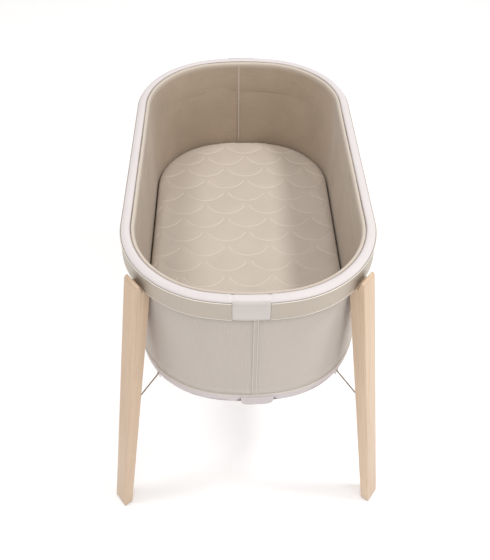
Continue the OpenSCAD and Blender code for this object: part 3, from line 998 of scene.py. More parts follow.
class ScaleQuilting:
    """Fish-scale quilting: rows of open arcs, each row half a step along, laid on a pad from above."""

    CORD: float = 1.45 * MM
    HALF_ANGLE: float = 66.0
    SINK: float = 0.55 * MM

    def __init__(self) -> None:
        """Builds the tree."""
        t = NodeTree("scale_quilting")
        self.tree = t
        self.radius = t.size("Arc Radius")
        self.thick = t.size("Cord Radius")
        self.sweep = t.size("Arc Half Angle")
        self.drop = t.size("Sink")
        self.pad = t.size("Pad", "NodeSocketObject")
        self.floor = t.size("Lowest Height")
        self.finish = t.size("Finish", "NodeSocketMaterial")
        half = t.given("Arc Half Angle")
        start = t.add("ShaderNodeMath", {"operation": "SUBTRACT"}, {0: -math.pi / 2, 1: half})
        turn = t.add("ShaderNodeMath", {"operation": "MULTIPLY"}, {0: half, 1: 2.0})
        arc = t.add(
            "GeometryNodeCurveArc",
            {"mode": "RADIUS"},
            {
                "Resolution": 34,
                "Radius": t.given("Arc Radius"),
                "Start Angle": start.outputs[0],
                "Sweep Angle": turn.outputs[0],
            },
        )
        spots = {"Points": t.given("Geometry"), "Instance": arc.outputs[0]}
        placed = t.add("GeometryNodeInstanceOnPoints", None, spots)
        real = t.add("GeometryNodeRealizeInstances", None, {"Geometry": placed.outputs[0]})
        pad = t.add("GeometryNodeObjectInfo", {"transform_space": "RELATIVE"}, {"Object": t.given("Pad")})
        down = {"Target Geometry": pad.outputs["Geometry"], "Ray Direction": (0, 0, -1), "Ray Length": 1.0}
        ray = t.add("GeometryNodeRaycast", None, down)
        where = t.add("ShaderNodeSeparateXYZ", None, {0: ray.outputs["Hit Position"]})
        low = t.add(
            "FunctionNodeCompare",
            {"data_type": "FLOAT", "operation": "LESS_THAN"},
            {0: where.outputs[2], 1: t.given("Lowest Height")},
        )
        missed = t.add("FunctionNodeBooleanMath", {"operation": "NOT"}, {0: ray.outputs["Is Hit"]})
        either = {0: low.outputs[0], 1: missed.outputs[0]}
        off = t.add("FunctionNodeBooleanMath", {"operation": "OR"}, either)
        sunk = t.add("ShaderNodeCombineXYZ", None, {"Z": t.given("Sink")})
        lower = {0: ray.outputs["Hit Position"], 1: sunk.outputs[0]}
        place = t.add("ShaderNodeVectorMath", {"operation": "SUBTRACT"}, lower)
        kept = t.add(
            "GeometryNodeDeleteGeometry",
            {"domain": "POINT"},
            {"Geometry": real.outputs[0], "Selection": off.outputs[0]},
        )
        spot = {"Geometry": kept.outputs[0], "Position": place.outputs[0]}
        laid = t.add("GeometryNodeSetPosition", None, spot)
        thick = {"Resolution": 6, "Radius": t.given("Cord Radius")}
        ring = t.add("GeometryNodeCurvePrimitiveCircle", None, thick)
        cord = t.add(
            "GeometryNodeCurveToMesh",
            None,
            {"Curve": laid.outputs[0], "Profile Curve": ring.outputs[0], "Fill Caps": True},
        )
        smooth = t.add("GeometryNodeSetShadeSmooth", None, {"Geometry": cord.outputs[0]})
        t.dress(smooth)

    def on(
        self,
        name: str,
        pad: bpy.types.Object,
        centres: np.ndarray,
        radius: float,
        lowest: float,
        finish: bpy.types.Material,
    ) -> bpy.types.Object:
        """Lays the arcs on a pad.

        Args:
            name: The new piece's name.
            pad: The pad.
            centres: Centre of each arc, above the pad.
            radius: Radius of the arcs.
            lowest: Height below which no arc lies, so that none runs over the pad's edge.
            finish: The thread's finish.

        Returns:
            The arcs as one piece.
        """
        mesh = bpy.data.meshes.new(name + "_centres")
        mesh.from_pydata([tuple(c) for c in centres], [], [])
        host = bpy.data.objects.new(name + "_centres", mesh)
        bpy.context.scene.collection.objects.link(host)
        inputs = {
            self.radius: radius,
            self.thick: self.CORD,
            self.sweep: math.radians(self.HALF_ANGLE),
            self.drop: self.SINK,
            self.pad: pad,
            self.floor: lowest,
            self.finish: finish,
        }
        return self.tree.apply(host, inputs, name)


# --- Sub-assemblies -----------------------------------------------------------------------------


@dataclass
class Rail:
    """The metal rail: two bent strips that meet under the end tabs, each with a bead along both edges; the
    beads' paler finish is a painted highlight on their rounded shape.
    """

    path: RimPath
    finishes: Finishes
    height: float = 47 * MM
    wall: float = 3 * MM
    gap: float = 75 * MM
    edge: float = 1.0 * MM
    lip: float = 0.35 * MM
    bead: float = 0.85 * MM

    def build(self) -> None:
        """Makes both strips."""
        start = self.path.end_radius * math.asin(self.gap / 2 / self.path.end_radius)
        half = self.path.round / 2
        low, lip = -self.height, self.lip
        section = rounded(
            [
                (-self.wall, low),
                (lip, low),
                (lip, low + 1.8 * MM),
                (0, low + 2.4 * MM),
                (0, -2.8 * MM),
                (lip, -2.0 * MM),
                (lip, -0.3 * MM),
                (-self.wall, -0.3 * MM),
            ],
            self.edge,
        )
        sweep = Sweep(self.path, self.finishes.rail)
        # The edge beads are real shapes; their paler finish is a painted highlight.
        bright = Sweep(self.path, self.finishes.rail_edge_highlight)
        beads = (("upper", -0.35 * MM, -0.6 * MM), ("lower", -0.1 * MM, 0.9 * MM - self.height))
        for side, first in (("right", start), ("left", half + start)):
            last = first + half - 2 * start
            piece = sweep.make(f"rail_strip_{side}", section, first, last)
            settle(piece, "root", "rail", f"rail_{side}")
            for edge, out, up in beads:
                bead = disc(out, up, self.bead, 10)
                settle(bright.make(f"rail_{edge}_edge_{side}", bead, first, last), "root", "rail")


@dataclass
class PaddedRim:
    """The padded roll that laps the rail's top, its inner seam cord, and the tabs over the rail's ends."""

    path: RimPath
    finishes: Finishes
    rise: float = 7.8 * MM
    tab_half: float = 36.9 * MM

    def roll_section(self) -> Outline:
        """Profile of the padded roll: flat under, crowned over, pulled in at the seam."""
        r = self.rise
        corners = [
            (-21.2 * MM, -2.6 * MM),
            (-3.8 * MM, -3.6 * MM),
            (-3.4 * MM, -0.6 * MM),
            (-2.2 * MM, -0.1 * MM),
            (-2.7 * MM, 3.6 * MM),
            (-5.6 * MM, r - 2.0 * MM),
            (-10.4 * MM, r + 0.3 * MM),
            (-16.2 * MM, r + 0.3 * MM),
            (-19.9 * MM, r - 0.9 * MM),
            (-21.4 * MM, r - 3.2 * MM),
        ]
        return rounded(corners, 3.2 * MM, 3)

    def pull(self, run: np.ndarray, out: np.ndarray, up: np.ndarray) -> Pair:
        """Small puckers in the roll, strongest beside the tabs.

        Args:
            run: Distances along the rim.
            out: The points' distances out.
            up: The points' heights.

        Returns:
            How far each point moves out and up.
        """
        r = self.path.round
        top = np.clip((up + 1 * MM) / (self.rise + 1 * MM), 0, 1)
        rest = wave(
            run, r, [(5, 0.25 * MM, 0.4), (13, 0.18 * MM, 2.1), (31, 0.10 * MM, 1.0), (57, 0.06 * MM, 0.2)]
        )
        pinch = np.zeros(run.shape)
        for centre in (0, r / 2, r):
            for side, deep in ((-1, 1.7), (1, 2.1)):
                pinch += deep * bump_at(run, centre + side * 38 * MM, 2.4 * MM)
                pinch -= 0.35 * deep * bump_at(run, centre + side * 44 * MM, 3.4 * MM)
        slope = np.where(out > -12 * MM, 1.0, -1.0)
        return -pinch * MM * top * 0.5 * slope, (rest - pinch * MM) * top

    def build(self, sewing: StitchRow) -> None:
        """Makes the roll, its seam cord and the tabs.

        Args:
            sewing: The stitch maker.
        """
        roll = Sweep(self.path, self.finishes.rim).make(
            "padded_rim", self.roll_section(), step=0.004, shift=self.pull
        )
        settle(roll, "root", "rim_fabric", "rim_cover", "rim_foam")
        cord = Sweep(self.path, self.finishes.rim_seam).make(
            "rim_seam_cord", disc(-21.9 * MM, self.rise - 2.9 * MM, 0.6 * MM, 8), step=0.006
        )
        settle(cord, "root", "piping", "rim_piping")
        for end, middle in (("front", 0.0), ("rear", self.path.round / 2)):
            self.tab(end, middle, sewing)

    def tab(self, end: str, middle: float, sewing: StitchRow) -> None:
        """Makes one end tab: a double cloth that comes over the rail and hangs down in front of it.

        Args:
            end: Front or rear.
            middle: Run of the tab's middle.
            sewing: The stitch maker.
        """
        profile = rounded(
            [
                (-2.2 * MM, -45.8 * MM),
                (0.5 * MM, -45.8 * MM),
                (0.7 * MM, -20 * MM),
                (0.5 * MM, -0.8 * MM),
                (-0.4 * MM, 2.6 * MM),
                (-3.0 * MM, 5.6 * MM),
                (-4.0 * MM, 4.6 * MM),
                (-2.2 * MM, 0.6 * MM),
            ],
            1.0 * MM,
            3,
        )

        def hang(run: np.ndarray, out: np.ndarray, up: np.ndarray) -> Pair:
            """Draws the tab's side edges in and lets its middle stand out a little."""
            beside = np.abs(run - middle) / self.tab_half
            low = np.clip(-up / (45 * MM), 0, 1)
            fold = -0.7 * MM * np.clip((beside - 0.86) / 0.14, 0, 1) ** 2
            swell = 0.35 * MM * (1 - beside**2) * np.sin(low * math.pi)
            front = (out > -1.2 * MM).astype(float)
            return (fold + swell) * front, np.zeros(run.shape)

        first, last = middle - self.tab_half, middle + self.tab_half
        cloth = Sweep(self.path, self.finishes.tab)
        piece = cloth.make(f"{end}_rail_tab", profile, first, last, 0.003, hang)
        settle(piece, "root", "tab_fabric", f"{end}_tab")
        runs = np.linspace(first + 3 * MM, last - 3 * MM, 24)
        x, y = self.path.at(runs, np.full(24, 0.75 * MM))
        ups = (-43.5 * MM, -2.6 * MM)
        lines = [np.stack([x, y, np.full(24, self.path.top + up)], 1) for up in ups]
        settle(sewing.along(f"{end}_tab_stitches", lines, self.finishes.thread), "root", "tab_fabric")


@dataclass
class Liner:
    """The padded liner: two halves down to the base, a roll over the rim, and a taped seam at each end."""

    path: RimPath
    finishes: Finishes
    bottom: float
    seam: float = 9 * MM
    spacing: float = 14 * MM
    tape_half: float = 2.3 * MM

    def section(self) -> Outline:
        """Profile of a half: the padded wall, with the points close enough together to move softly."""
        wall = [
            (-28.0 * MM, -40 * MM),
            (-28.0 * MM, -150 * MM),
            (-28.0 * MM, -225 * MM),
            (-28.2 * MM, self.bottom),
            (-25.4 * MM, self.bottom),
            (-25.0 * MM, -225 * MM),
            (-24.8 * MM, -150 * MM),
            (-24.6 * MM, -40 * MM),
            (-24.6 * MM, -6 * MM),
            (-24.9 * MM, 1.6 * MM),
            (-26.4 * MM, 2.6 * MM),
            (-27.9 * MM, 1.6 * MM),
        ]
        fine: Outline = []
        for i, (out, up) in enumerate(wall):
            next_out, next_up = wall[(i + 1) % len(wall)]
            parts = max(1, int(math.dist((out, up), (next_out, next_up)) / self.spacing))
            fine += [
                (out + (next_out - out) * k / parts, up + (next_up - up) * k / parts) for k in range(parts)
            ]
        return fine

    def swell(self, run: np.ndarray, out: np.ndarray, up: np.ndarray) -> Pair:
        """The liner's soft swell and shallow pulls.

        Args:
            run: Distances along the rim.
            out: The points' distances out.
            up: The points' heights.

        Returns:
            How far each point moves out and up.
        """
        r = self.path.round
        depth = np.clip(-up / -self.bottom, 0, 1)
        belly = np.sin(depth * math.pi)
        soft = wave(run, r, [(7, 0.5 * MM, 0.2), (16, 0.35 * MM, 1.7), (29, 0.2 * MM, 0.9)])
        drift = wave(run + up * 0.6, r, [(11, 0.4 * MM, 2.2), (23, 0.25 * MM, 0.1)])
        inner = (out < -26.4 * MM).astype(float)
        move = (np.clip(soft + drift, -0.9 * MM, 1.2 * MM) * belly + 0.5 * MM * belly) * inner
        return move, np.zeros(run.shape)

    def puff(self, run: np.ndarray, out: np.ndarray, up: np.ndarray) -> Pair:
        """The slight unevenness of the liner's roll.

        Args:
            run: Distances along the rim.
            out: The points' distances out.
            up: The points' heights.

        Returns:
            How far each point moves out and up.
        """
        ripples = [(9, 0.25 * MM, 1.1), (37, 0.12 * MM, 0.5), (83, 0.08 * MM, 0.3)]
        uneven = wave(run, self.path.round, ripples)
        return uneven * 0.5, uneven

    def build(self) -> None:
        """Makes both halves, the roll over the rim and the seam tapes."""
        half = self.path.round / 2
        sweep = Sweep(self.path, self.finishes.liner)
        section = self.section()
        middle = half + self.seam
        for side, first, last in (("right", 0.0, middle), ("left", middle, self.path.round)):
            piece = sweep.make(f"padded_liner_{side}", section, first, last, 0.012, self.swell)
            settle(piece, "root", "liner", f"liner_{side}")
        roll = [
            (-26.0 * MM, -84 * MM),
            (-24.4 * MM, -12 * MM),
            (-23.4 * MM, -3 * MM),
            (-22.3 * MM, 1.8 * MM),
            (-23.4 * MM, 5.0 * MM),
            (-26.4 * MM, 5.6 * MM),
            (-29.6 * MM, 3.8 * MM),
            (-30.7 * MM, 0.4 * MM),
            (-30.6 * MM, -5 * MM),
            (-30.0 * MM, -15 * MM),
            (-29.3 * MM, -30 * MM),
            (-28.7 * MM, -52 * MM),
            (-27.9 * MM, -84 * MM),
        ]
        # The roll over the rim; its paler top is a painted highlight from its finish.
        painted_lit_roll = Sweep(self.path, self.finishes.painted_lit_roll).make(
            "liner_roll", rounded(roll, 3.0 * MM, 3), step=0.006, shift=self.puff
        )
        settle(painted_lit_roll, "root", "liner")
        tape = Sweep(self.path, self.finishes.liner_tape)
        for name, centre, nodes in (("rear", middle, ("liner_seams",)), ("front", 0.0, ())):
            profile = rounded(
                [
                    (-29.6 * MM, -247 * MM),
                    (-27.6 * MM, -247 * MM),
                    (-27.6 * MM, 3 * MM),
                    (-30.4 * MM, 3 * MM),
                    (-31.4 * MM, 0 * MM),
                    (-31.3 * MM, -6 * MM),
                    (-30.7 * MM, -16 * MM),
                    (-29.9 * MM, -32 * MM),
                    (-29.6 * MM, -50 * MM),
                ],
                0.8 * MM,
            )
            first, last = centre - self.tape_half, centre + self.tape_half
            piece = tape.make(f"liner_seam_{name}", profile, first, last, 1.1 * MM)
            settle(piece, "root", "seam", *nodes)


@dataclass
class OuterWall:
    """The ribbed outer wall in two halves, its seam strips, the hem cord, the skirt and the end flaps."""

    path: RimPath
    finishes: Finishes
    hem: float = -320 * MM
    bottom: float = -345 * MM
    flap: float = -355 * MM
    seam: float = 11 * MM
    strip_half: float = 5 * MM
    rows: float = 22 * MM
    flap_half: float = 38 * MM
    flap_shift: float = 19 * MM
    flap_corner: float = 12 * MM

    def panel(self, out: float, low: float, high: float, thick: float, step: float) -> Outline:
        """Profile of an upright cloth panel with enough points to move softly.

        Args:
            out: Distance out of its outer face.
            low: Height of its lower edge.
            high: Height of its upper edge.
            thick: Its thickness.
            step: Spacing of its points.

        Returns:
            The profile, counter-clockwise.
        """
        count = max(2, int((high - low) / step))
        ups = [low + (high - low) * k / count for k in range(count + 1)]
        return [(out, u) for u in ups] + [(out - thick, u) for u in reversed(ups)]

    def slack(self, run: np.ndarray, out: np.ndarray, up: np.ndarray) -> Pair:
        """Slight slackness of the outer wall between its upper edge and its hem.

        Args:
            run: Distances along the rim.
            out: The points' distances out.
            up: The points' heights.

        Returns:
            How far each point moves out and up.
        """
        depth = np.clip((up + 47 * MM) / (self.hem + 47 * MM), 0, 1)
        belly = np.sin(depth * math.pi)
        soft = wave(run, self.path.round, [(6, 0.5 * MM, 0.3), (14, 0.35 * MM, 1.9), (27, 0.2 * MM, 0.6)])
        return (soft - 0.6 * MM) * belly, np.zeros(run.shape)

    def ripple(self, run: np.ndarray, out: np.ndarray, up: np.ndarray) -> Pair:
        """The skirt's wavy lower edge, drawn in at each side of the flaps.

        Args:
            run: Distances along the rim.
            out: The points' distances out.
            up: The points' heights.

        Returns:
            How far each point moves out and up.
        """
        r = self.path.round
        low = np.clip((up - self.hem) / (self.bottom - self.hem), 0, 1)
        soft = wave(
            run, r, [(9, 0.6 * MM, 0.5), (22, 0.5 * MM, 1.4), (43, 0.35 * MM, 0.2), (71, 0.2 * MM, 2.0)]
        )
        tuck = np.zeros(run.shape)
        for centre in (self.flap_shift, r / 2, r + self.flap_shift):
            for side in (-1, 1):
                tuck += bump_at(run, centre + side * (self.flap_half + 3 * MM), 4.5 * MM)
        return (soft - 1.2 * MM) * low - 3.2 * MM * tuck * low, (0.5 * soft + 2.2 * MM * tuck) * low

    def build(self, sewing: StitchRow) -> None:
        """Makes every piece of the outer wall.

        Args:
            sewing: The stitch maker.
        """
        half, r = self.path.round / 2, self.path.round
        wall = Sweep(self.path, self.finishes.mesh)
        section = self.panel(-13.5 * MM, self.hem + 2.2 * MM, -46.4 * MM, 2.4 * MM, self.rows)
        for side, first, last in (("right", self.seam, half), ("left", half, r + self.seam)):
            piece = wall.make(f"mesh_wall_{side}", section, first, last, 0.012, self.slack)
            settle(piece, "root", "mesh", f"wall_{side}")
            last - first
        self.seams(sewing)
        cord = Sweep(self.path, self.finishes.hem).make(
            "hem_cord", disc(-14.2 * MM, self.hem, 2.5 * MM, 12), step=0.008
        )
        settle(cord, "root", "hem", "hem_piping")
        skirt = Sweep(self.path, self.finishes.bottom).make(
            "bottom_skirt_cloth",
            self.panel(-14 * MM, self.bottom, self.hem - 1.4 * MM, 1.6 * MM, 4 * MM),
            step=0.005,
            shift=self.ripple,
        )
        settle(skirt, "root", "bottom_fabric", "bottom_skirt")
        for end, middle in (("front", self.flap_shift), ("rear", half)):
            self.end_flap(end, middle, sewing)

    def seams(self, sewing: StitchRow) -> None:
        """Makes the seam strips at the front and the rear, with their raised edges and their stitches.

        Args:
            sewing: The stitch maker.
        """
        strip = Sweep(self.path, self.finishes.tape)
        welt = Sweep(self.path, self.finishes.welt)
        ridge = self.panel(-11.7 * MM, -316 * MM, -47 * MM, 1.4 * MM, self.rows)
        for end, centre in (("front", self.seam), ("rear", self.path.round / 2)):
            section = self.panel(-12.8 * MM, -316.5 * MM, -47 * MM, 1.2 * MM, self.rows)
            first, last = centre - self.strip_half, centre + self.strip_half
            piece = strip.make(f"wall_seam_strip_{end}", section, first, last, 2 * MM, self.slack)
            settle(piece, "root", "seam", f"wall_seam_{end}")
            lines = []
            for side, beside in enumerate((-4.4 * MM, 4.4 * MM)):
                first, last = centre + beside - MM, centre + beside + MM
                piece = welt.make(f"wall_welt_{end}_{side}", ridge, first, last, 0.5 * MM, self.slack)
                settle(piece, "root", "seam")
            for beside in (-1.5 * MM, 1.5 * MM):
                ups = np.linspace(-49 * MM, -315 * MM, 40)
                runs = np.full(40, centre + beside)
                out, _ = self.slack(runs, np.full(40, -12.7 * MM), ups)
                x, y = self.path.at(runs, out - 12.55 * MM)
                lines.append(np.stack([x, y, self.path.top + ups], 1))
            settle(sewing.along(f"wall_seam_stitches_{end}", lines, self.finishes.thread), "root", "seam")

    def end_flap(self, end: str, middle: float, sewing: StitchRow) -> None:
        """Makes an end flap: a hanging cloth with rounded lower corners and a slanting pull.

        Args:
            end: Front or rear.
            middle: Run of the flap's middle.
            sewing: The stitch maker.
        """
        reach = self.flap_half
        high = self.hem - 1.2 * MM

        def shape(run: np.ndarray, out: np.ndarray, up: np.ndarray) -> Pair:
            """Rounds the lower corners and puckers the cloth."""
            beside = np.clip(np.abs(run - middle) / reach, 0, 1)
            low = np.clip((high - up) / (high - self.flap), 0, 1)
            corner = self.flap_corner / reach
            over = np.clip((beside - (1 - corner)) / corner, 0, 1)
            lift = self.flap_corner * (1 - np.sqrt(np.clip(1 - over**2, 0, 1)))
            slant = (run - middle) - 8 * MM + (up - high) * 0.9
            pull = -1.1 * MM * np.exp(-((slant / (4 * MM)) ** 2)) * np.sin(low * math.pi)
            flare = 0.9 * MM * np.sin(beside * math.pi * 1.3) * low
            return pull + flare - 0.4 * MM, lift * low

        sweep = Sweep(self.path, self.finishes.bottom)
        section = self.panel(-11.9 * MM, self.flap, high, 1.5 * MM, 3 * MM)
        piece = sweep.make(f"{end}_flap_cloth", section, middle - reach, middle + reach, 0.0025, shape)
        settle(piece, "root", "bottom_fabric", f"{end}_flap")
        runs = np.linspace(middle - reach + 4 * MM, middle + reach - 4 * MM, 30)
        ups = np.full(30, high - 4.5 * MM)
        out, _ = shape(runs, np.full(30, -11.9 * MM), ups)
        x, y = self.path.at(runs, out - 11.75 * MM)
        lines = [np.stack([x, y, self.path.top + ups], 1)]
        stitches = sewing.along(f"{end}_flap_stitches", lines, self.finishes.dark_thread)
        settle(stitches, "root", "bottom_fabric")


@dataclass
class BottomPanel:
    """The flat cloth under the basket, with a slot for each stay hook."""

    path: RimPath
    finishes: Finishes
    thick: float = 2 * MM
    step: float = 14 * MM
    sag: float = 0.9 * MM

    def build(self) -> None:
        """Makes the panel."""
        low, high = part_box("bottom_panel")
        outline = self.path.outline(-15.4 * MM, 260)
        xs, ys = np.meshgrid(np.arange(low.x, high.x, self.step), np.arange(low.y, high.y, self.step))
        inside = self.path.outline(-24 * MM, 260)
        grid = np.stack([xs.ravel(), ys.ravel()], 1)
        grid = grid[self.contains(inside, grid)]
        slots = [self.slot_corners(f"stay_hook_{c}") for c in CORNERS]
        keep = np.ones(len(grid), bool)
        for slot in slots:
            keep &= np.linalg.norm(grid - slot.mean(0), axis=1) > 12 * MM
        points = [Vector(p) for p in np.concatenate([outline, *slots, grid[keep]])]
        count = len(outline)
        edges = [(k, (k + 1) % count) for k in range(count)]
        for k in range(len(slots)):
            base = count + 4 * k
            edges += [(base + i, base + (i + 1) % 4) for i in range(4)]
        verts, _, faces, *_ = delaunay_2d_cdt(points, edges, [], 1, 1e-6)
        plan = np.array([tuple(v) for v in verts])
        kept = []
        for face in faces:
            middle = plan[list(face)].mean(0)[None]
            if not any(self.contains(s, middle)[0] for s in slots):
                kept.append(tuple(face))
        edge = np.hypot(plan[:, 0] / 0.26, plan[:, 1] / 0.44)
        top = high.z - self.sag * np.clip(1 - edge**2, 0, 1)
        shell = np.concatenate([np.column_stack([plan, top]), np.column_stack([plan, top - self.thick])])
        size = len(plan)
        skin = kept + [tuple(size + i for i in reversed(f)) for f in kept]
        rim: Dict[Tuple[int, int], int] = {}
        for face in kept:
            for a, b in zip(face, face[1:] + face[:1]):
                rim[(a, b)] = rim.get((a, b), 0) + 1
        skin += [(b, a, size + a, size + b) for a, b in rim if (b, a) not in rim]
        piece = new_piece("bottom_cloth", shell, skin, self.finishes.panel, smooth=False)
        settle(piece, "root", "bottom_fabric", "bottom_panel")

    @staticmethod
    def contains(outline: np.ndarray, points: np.ndarray) -> np.ndarray:
        """Which points lie inside an outline.

        Args:
            outline: The outline's corners in order.
            points: The points.

        Returns:
            True for each point inside.
        """
        inside = np.zeros(len(points), bool)
        for (ax, ay), (bx, by) in zip(outline, np.roll(outline, -1, axis=0)):
            crosses = (ay > points[:, 1]) != (by > points[:, 1])
            with np.errstate(divide="ignore", invalid="ignore"):
                at = (bx - ax) * (points[:, 1] - ay) / (by - ay) + ax
            inside ^= crosses & (points[:, 0] < at)
        return inside

    @staticmethod
    def slot_corners(hook: str) -> np.ndarray:
        """Corners of the slot round a hook, from the hook's own points at the panel's height."""
        points = points_of(bpy.data.objects[hook])
        lowest = points[points[:, 2] < points[:, 2].min() + 1 * MM][:, :2]
        centre = lowest.mean(0)
        turn = np.linalg.eigh(np.cov((lowest - centre).T))[1]
        local = (lowest - centre) @ turn
        reach = np.abs(local).max(0) + 1.0 * MM
        square = np.array([(-1, -1), (1, -1), (1, 1), (-1, 1)]) * reach
        return square @ turn.T + centre


@dataclass
class Mattress:
    """The mattress: a crowned pad with a soft edge and scale quilting on top.

    A quilting arc has its centre above the pad; shifts are the places across of the rows, taken in turn.
    """

    path: RimPath
    finishes: Finishes
    inset: float = 30.6 * MM
    edge: float = 12 * MM
    pitch: float = 112 * MM
    row: float = 53.7 * MM
    arc: float = 54.5 * MM
    first_row: float = 88.5 * MM
    shifts: Tuple[float, float] = (-48 * MM, 8 * MM)
    voxel: float = 5 * MM
    pressure: float = 4.0
    most: float = 5 * MM
    crown: float = 3.5 * MM

    def shell(self) -> bpy.types.Object:
        """Makes the pad's closed shell, slightly smaller than it ends up."""
        low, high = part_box("mattress_cover")
        count, steps = 200, 6
        turns = [math.pi / 2 * k / steps for k in range(steps + 1)]
        away = [(self.edge * (1 - math.sin(a)), self.edge * (1 - math.cos(a))) for a in turns]
        rings = [(inward, low.z + up) for inward, up in away]
        rings += [(inward, high.z - 1 * MM - down) for down, inward in away]
        points, faces = [], []
        for inward, z in rings:
            outline = self.path.outline(-self.inset - inward, count)
            points += [(x, y, z) for x, y in outline]
        for i in range(len(rings) - 1):
            for j in range(count):
                n = (j + 1) % count
                faces.append((i * count + j, i * count + n, (i + 1) * count + n, (i + 1) * count + j))
        faces.append(tuple(reversed(range(count))))
        last = (len(rings) - 1) * count
        faces.append(tuple(last + j for j in range(count)))
        return new_piece("mattress_pad", np.array(points), faces, self.finishes.knit)

    def swell(self, pad: bpy.types.Object) -> None:
        """Args:
            pad: The pad.
        """
        remesh = pad.modifiers.new("even", "REMESH")
        remesh.mode = "VOXEL"
        remesh.voxel_size = self.voxel
        self.bake(pad)
        before = points_of(pad)
        cloth = pad.modifiers.new("cloth", "CLOTH")
        cloth.settings.use_pressure = True
        cloth.settings.uniform_pressure_force = self.pressure
        cloth.settings.effector_weights.gravity = 0.0
        cloth.settings.quality = 5
        scene = bpy.context.scene
        for frame in range(1, 21):
            scene.frame_set(frame)
        self.bake(pad)
        scene.frame_set(1)
        low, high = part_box("mattress_cover")
        move = points_of(pad) - before
        far = np.linalg.norm(move, axis=1, keepdims=True)
        move *= np.minimum(1, self.most / np.maximum(far, HAIR))
        move[:, :2] *= 0.25
        points = before + move
        points[:, 2] = np.clip(points[:, 2], low.z, high.z + self.crown)
        top = np.clip((points[:, 2] - (low.z + 18 * MM)) / (8 * MM), 0, 1)
        points[:, 2] += top * self.puff(points)
        pad.data.vertices.foreach_set("co", points.astype(np.float32).ravel())
        pad.data.update()
        finer = pad.modifiers.new("finer", "SUBSURF")
        finer.levels = finer.render_levels = 1
        self.bake(pad)

    def puff(self, points: np.ndarray) -> np.ndarray:
        """Height of the soft puffs between the quilting arcs.

        Args:
            points: Points of the pad.

        Returns:
            How far each one rises.
        """
        nearest = np.full(len(points), 1.0)
        for x, y, _ in self.centres():
            dx, dy = points[:, 0] - x, points[:, 1] - y
            far = np.hypot(dx, dy)
            angle = np.abs(np.arctan2(dx, -dy))
            gap = np.where(angle < math.radians(76), np.abs(far - self.arc), 1.0)
            nearest = np.minimum(nearest, gap)
        swell = 1 - np.exp(-((np.minimum(nearest, 60 * MM) / (9 * MM)) ** 2))
        rim = np.hypot(points[:, 0] / 0.24, points[:, 1] / 0.428)
        return 1.5 * MM * swell * np.clip((1 - rim) / 0.06, 0, 1) - 0.5 * MM

    def centres(self) -> np.ndarray:
        """Centres of the quilting arcs, over the pad."""
        made = []
        for k in range(-11, 12):
            y = self.first_row - self.row * k + self.arc
            made += [(self.shifts[k % 2] + self.pitch * m, y, self.path.top) for m in range(-4, 5)]
        return np.array(made)

    @staticmethod
    def bake(piece: bpy.types.Object) -> None:
        """Turns a piece and its modifiers into a plain mesh.

        Args:
            piece: The piece.
        """
        graph = bpy.context.evaluated_depsgraph_get()
        graph.update()
        mesh = bpy.data.meshes.new_from_object(piece.evaluated_get(graph), depsgraph=graph)
        material = piece.data.materials[0]
        piece.modifiers.clear()
        piece.data = mesh
        mesh.materials.clear()
        mesh.materials.append(material)
        mesh.polygons.foreach_set("use_smooth", [True] * len(mesh.polygons))

    def build(self) -> None:
        """Makes the pad and its quilting."""
        pad = self.shell()
        self.swell(pad)
        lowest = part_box("mattress_cover")[1].z - 3.5 * MM
        quilting = ScaleQuilting().on(
            "mattress_quilting", pad, self.centres(), self.arc, lowest, self.finishes.quilting
        )
        settle(pad, "mattress", "mattress_fabric", "mattress_cover", "mattress_foam")
        settle(quilting, "mattress", "mattress_fabric")


@dataclass
class Legs:
    """The four beech legs with eased edges."""

    finishes: Finishes
    ease: float = 1.1 * MM
    bearing: float = 37.0
    splay: float = 9.5
    crease: float = 40.0
    sharp: float = 32.0

    def build(self) -> None:
        """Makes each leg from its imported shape."""
        for number, corner in enumerate(CORNERS):
            self.leg(corner, self.finishes.beech[number])

    def leg(self, corner: str, finish: bpy.types.Material) -> None:
        """Makes a leg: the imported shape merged, its edges eased, and its grain laid along it.

        Args:
            corner: Which leg.
            finish: Its wood.
        """
        source = bpy.data.objects[f"leg_{corner}"]
        mesh = source.data.copy()
        work = bmesh.new()
        work.from_mesh(mesh)
        bmesh.ops.remove_doubles(work, verts=work.verts, dist=2e-5)
        bmesh.ops.dissolve_limit(work, angle_limit=math.radians(1.0), verts=work.verts, edges=work.edges)
        work.to_mesh(mesh)
        work.free()
        mesh.name = f"beech_leg_{corner}"
        piece = bpy.data.objects.new(f"beech_leg_{corner}", mesh)
        bpy.context.scene.collection.objects.link(piece)
        mesh.materials.clear()
        mesh.materials.append(finish)
        eased = piece.modifiers.new("eased", "BEVEL")
        eased.width = self.ease
        eased.segments = 3
        eased.limit_method = "ANGLE"
        eased.angle_limit = math.radians(self.crease)
        Mattress.bake(piece)
        self.lay_grain(piece, corner)
        piece.data.set_sharp_from_angle(angle=math.radians(self.sharp))
        settle(piece, f"leg_{corner}", "beech", f"leg_{corner}")

    def lay_grain(self, piece: bpy.types.Object, corner: str) -> None:
        """Stores the leg's own coordinates on its points, so that the grain runs along it.

        Args:
            piece: The leg.
            corner: Which leg.
        """
        sx = 1 if "right" in corner else -1
        sy = 1 if "rear" in corner else -1
        bearing, lean = math.radians(self.bearing), math.radians(self.splay)
        out = np.array([sx * math.cos(bearing), sy * math.sin(bearing), 0])
        beside = np.array([-out[1], out[0], 0])
        up = np.array([0, 0, 1.0])
        length = up * math.cos(lean) - out * math.sin(lean)
        face = out * math.cos(lean) + up * math.sin(lean)
        local = points_of(piece) @ np.stack([face, beside, length], 1)
        layer = piece.data.attributes.new("grain", "FLOAT_VECTOR", "POINT")
        layer.data.foreach_set("vector", local.astype(np.float32).ravel())


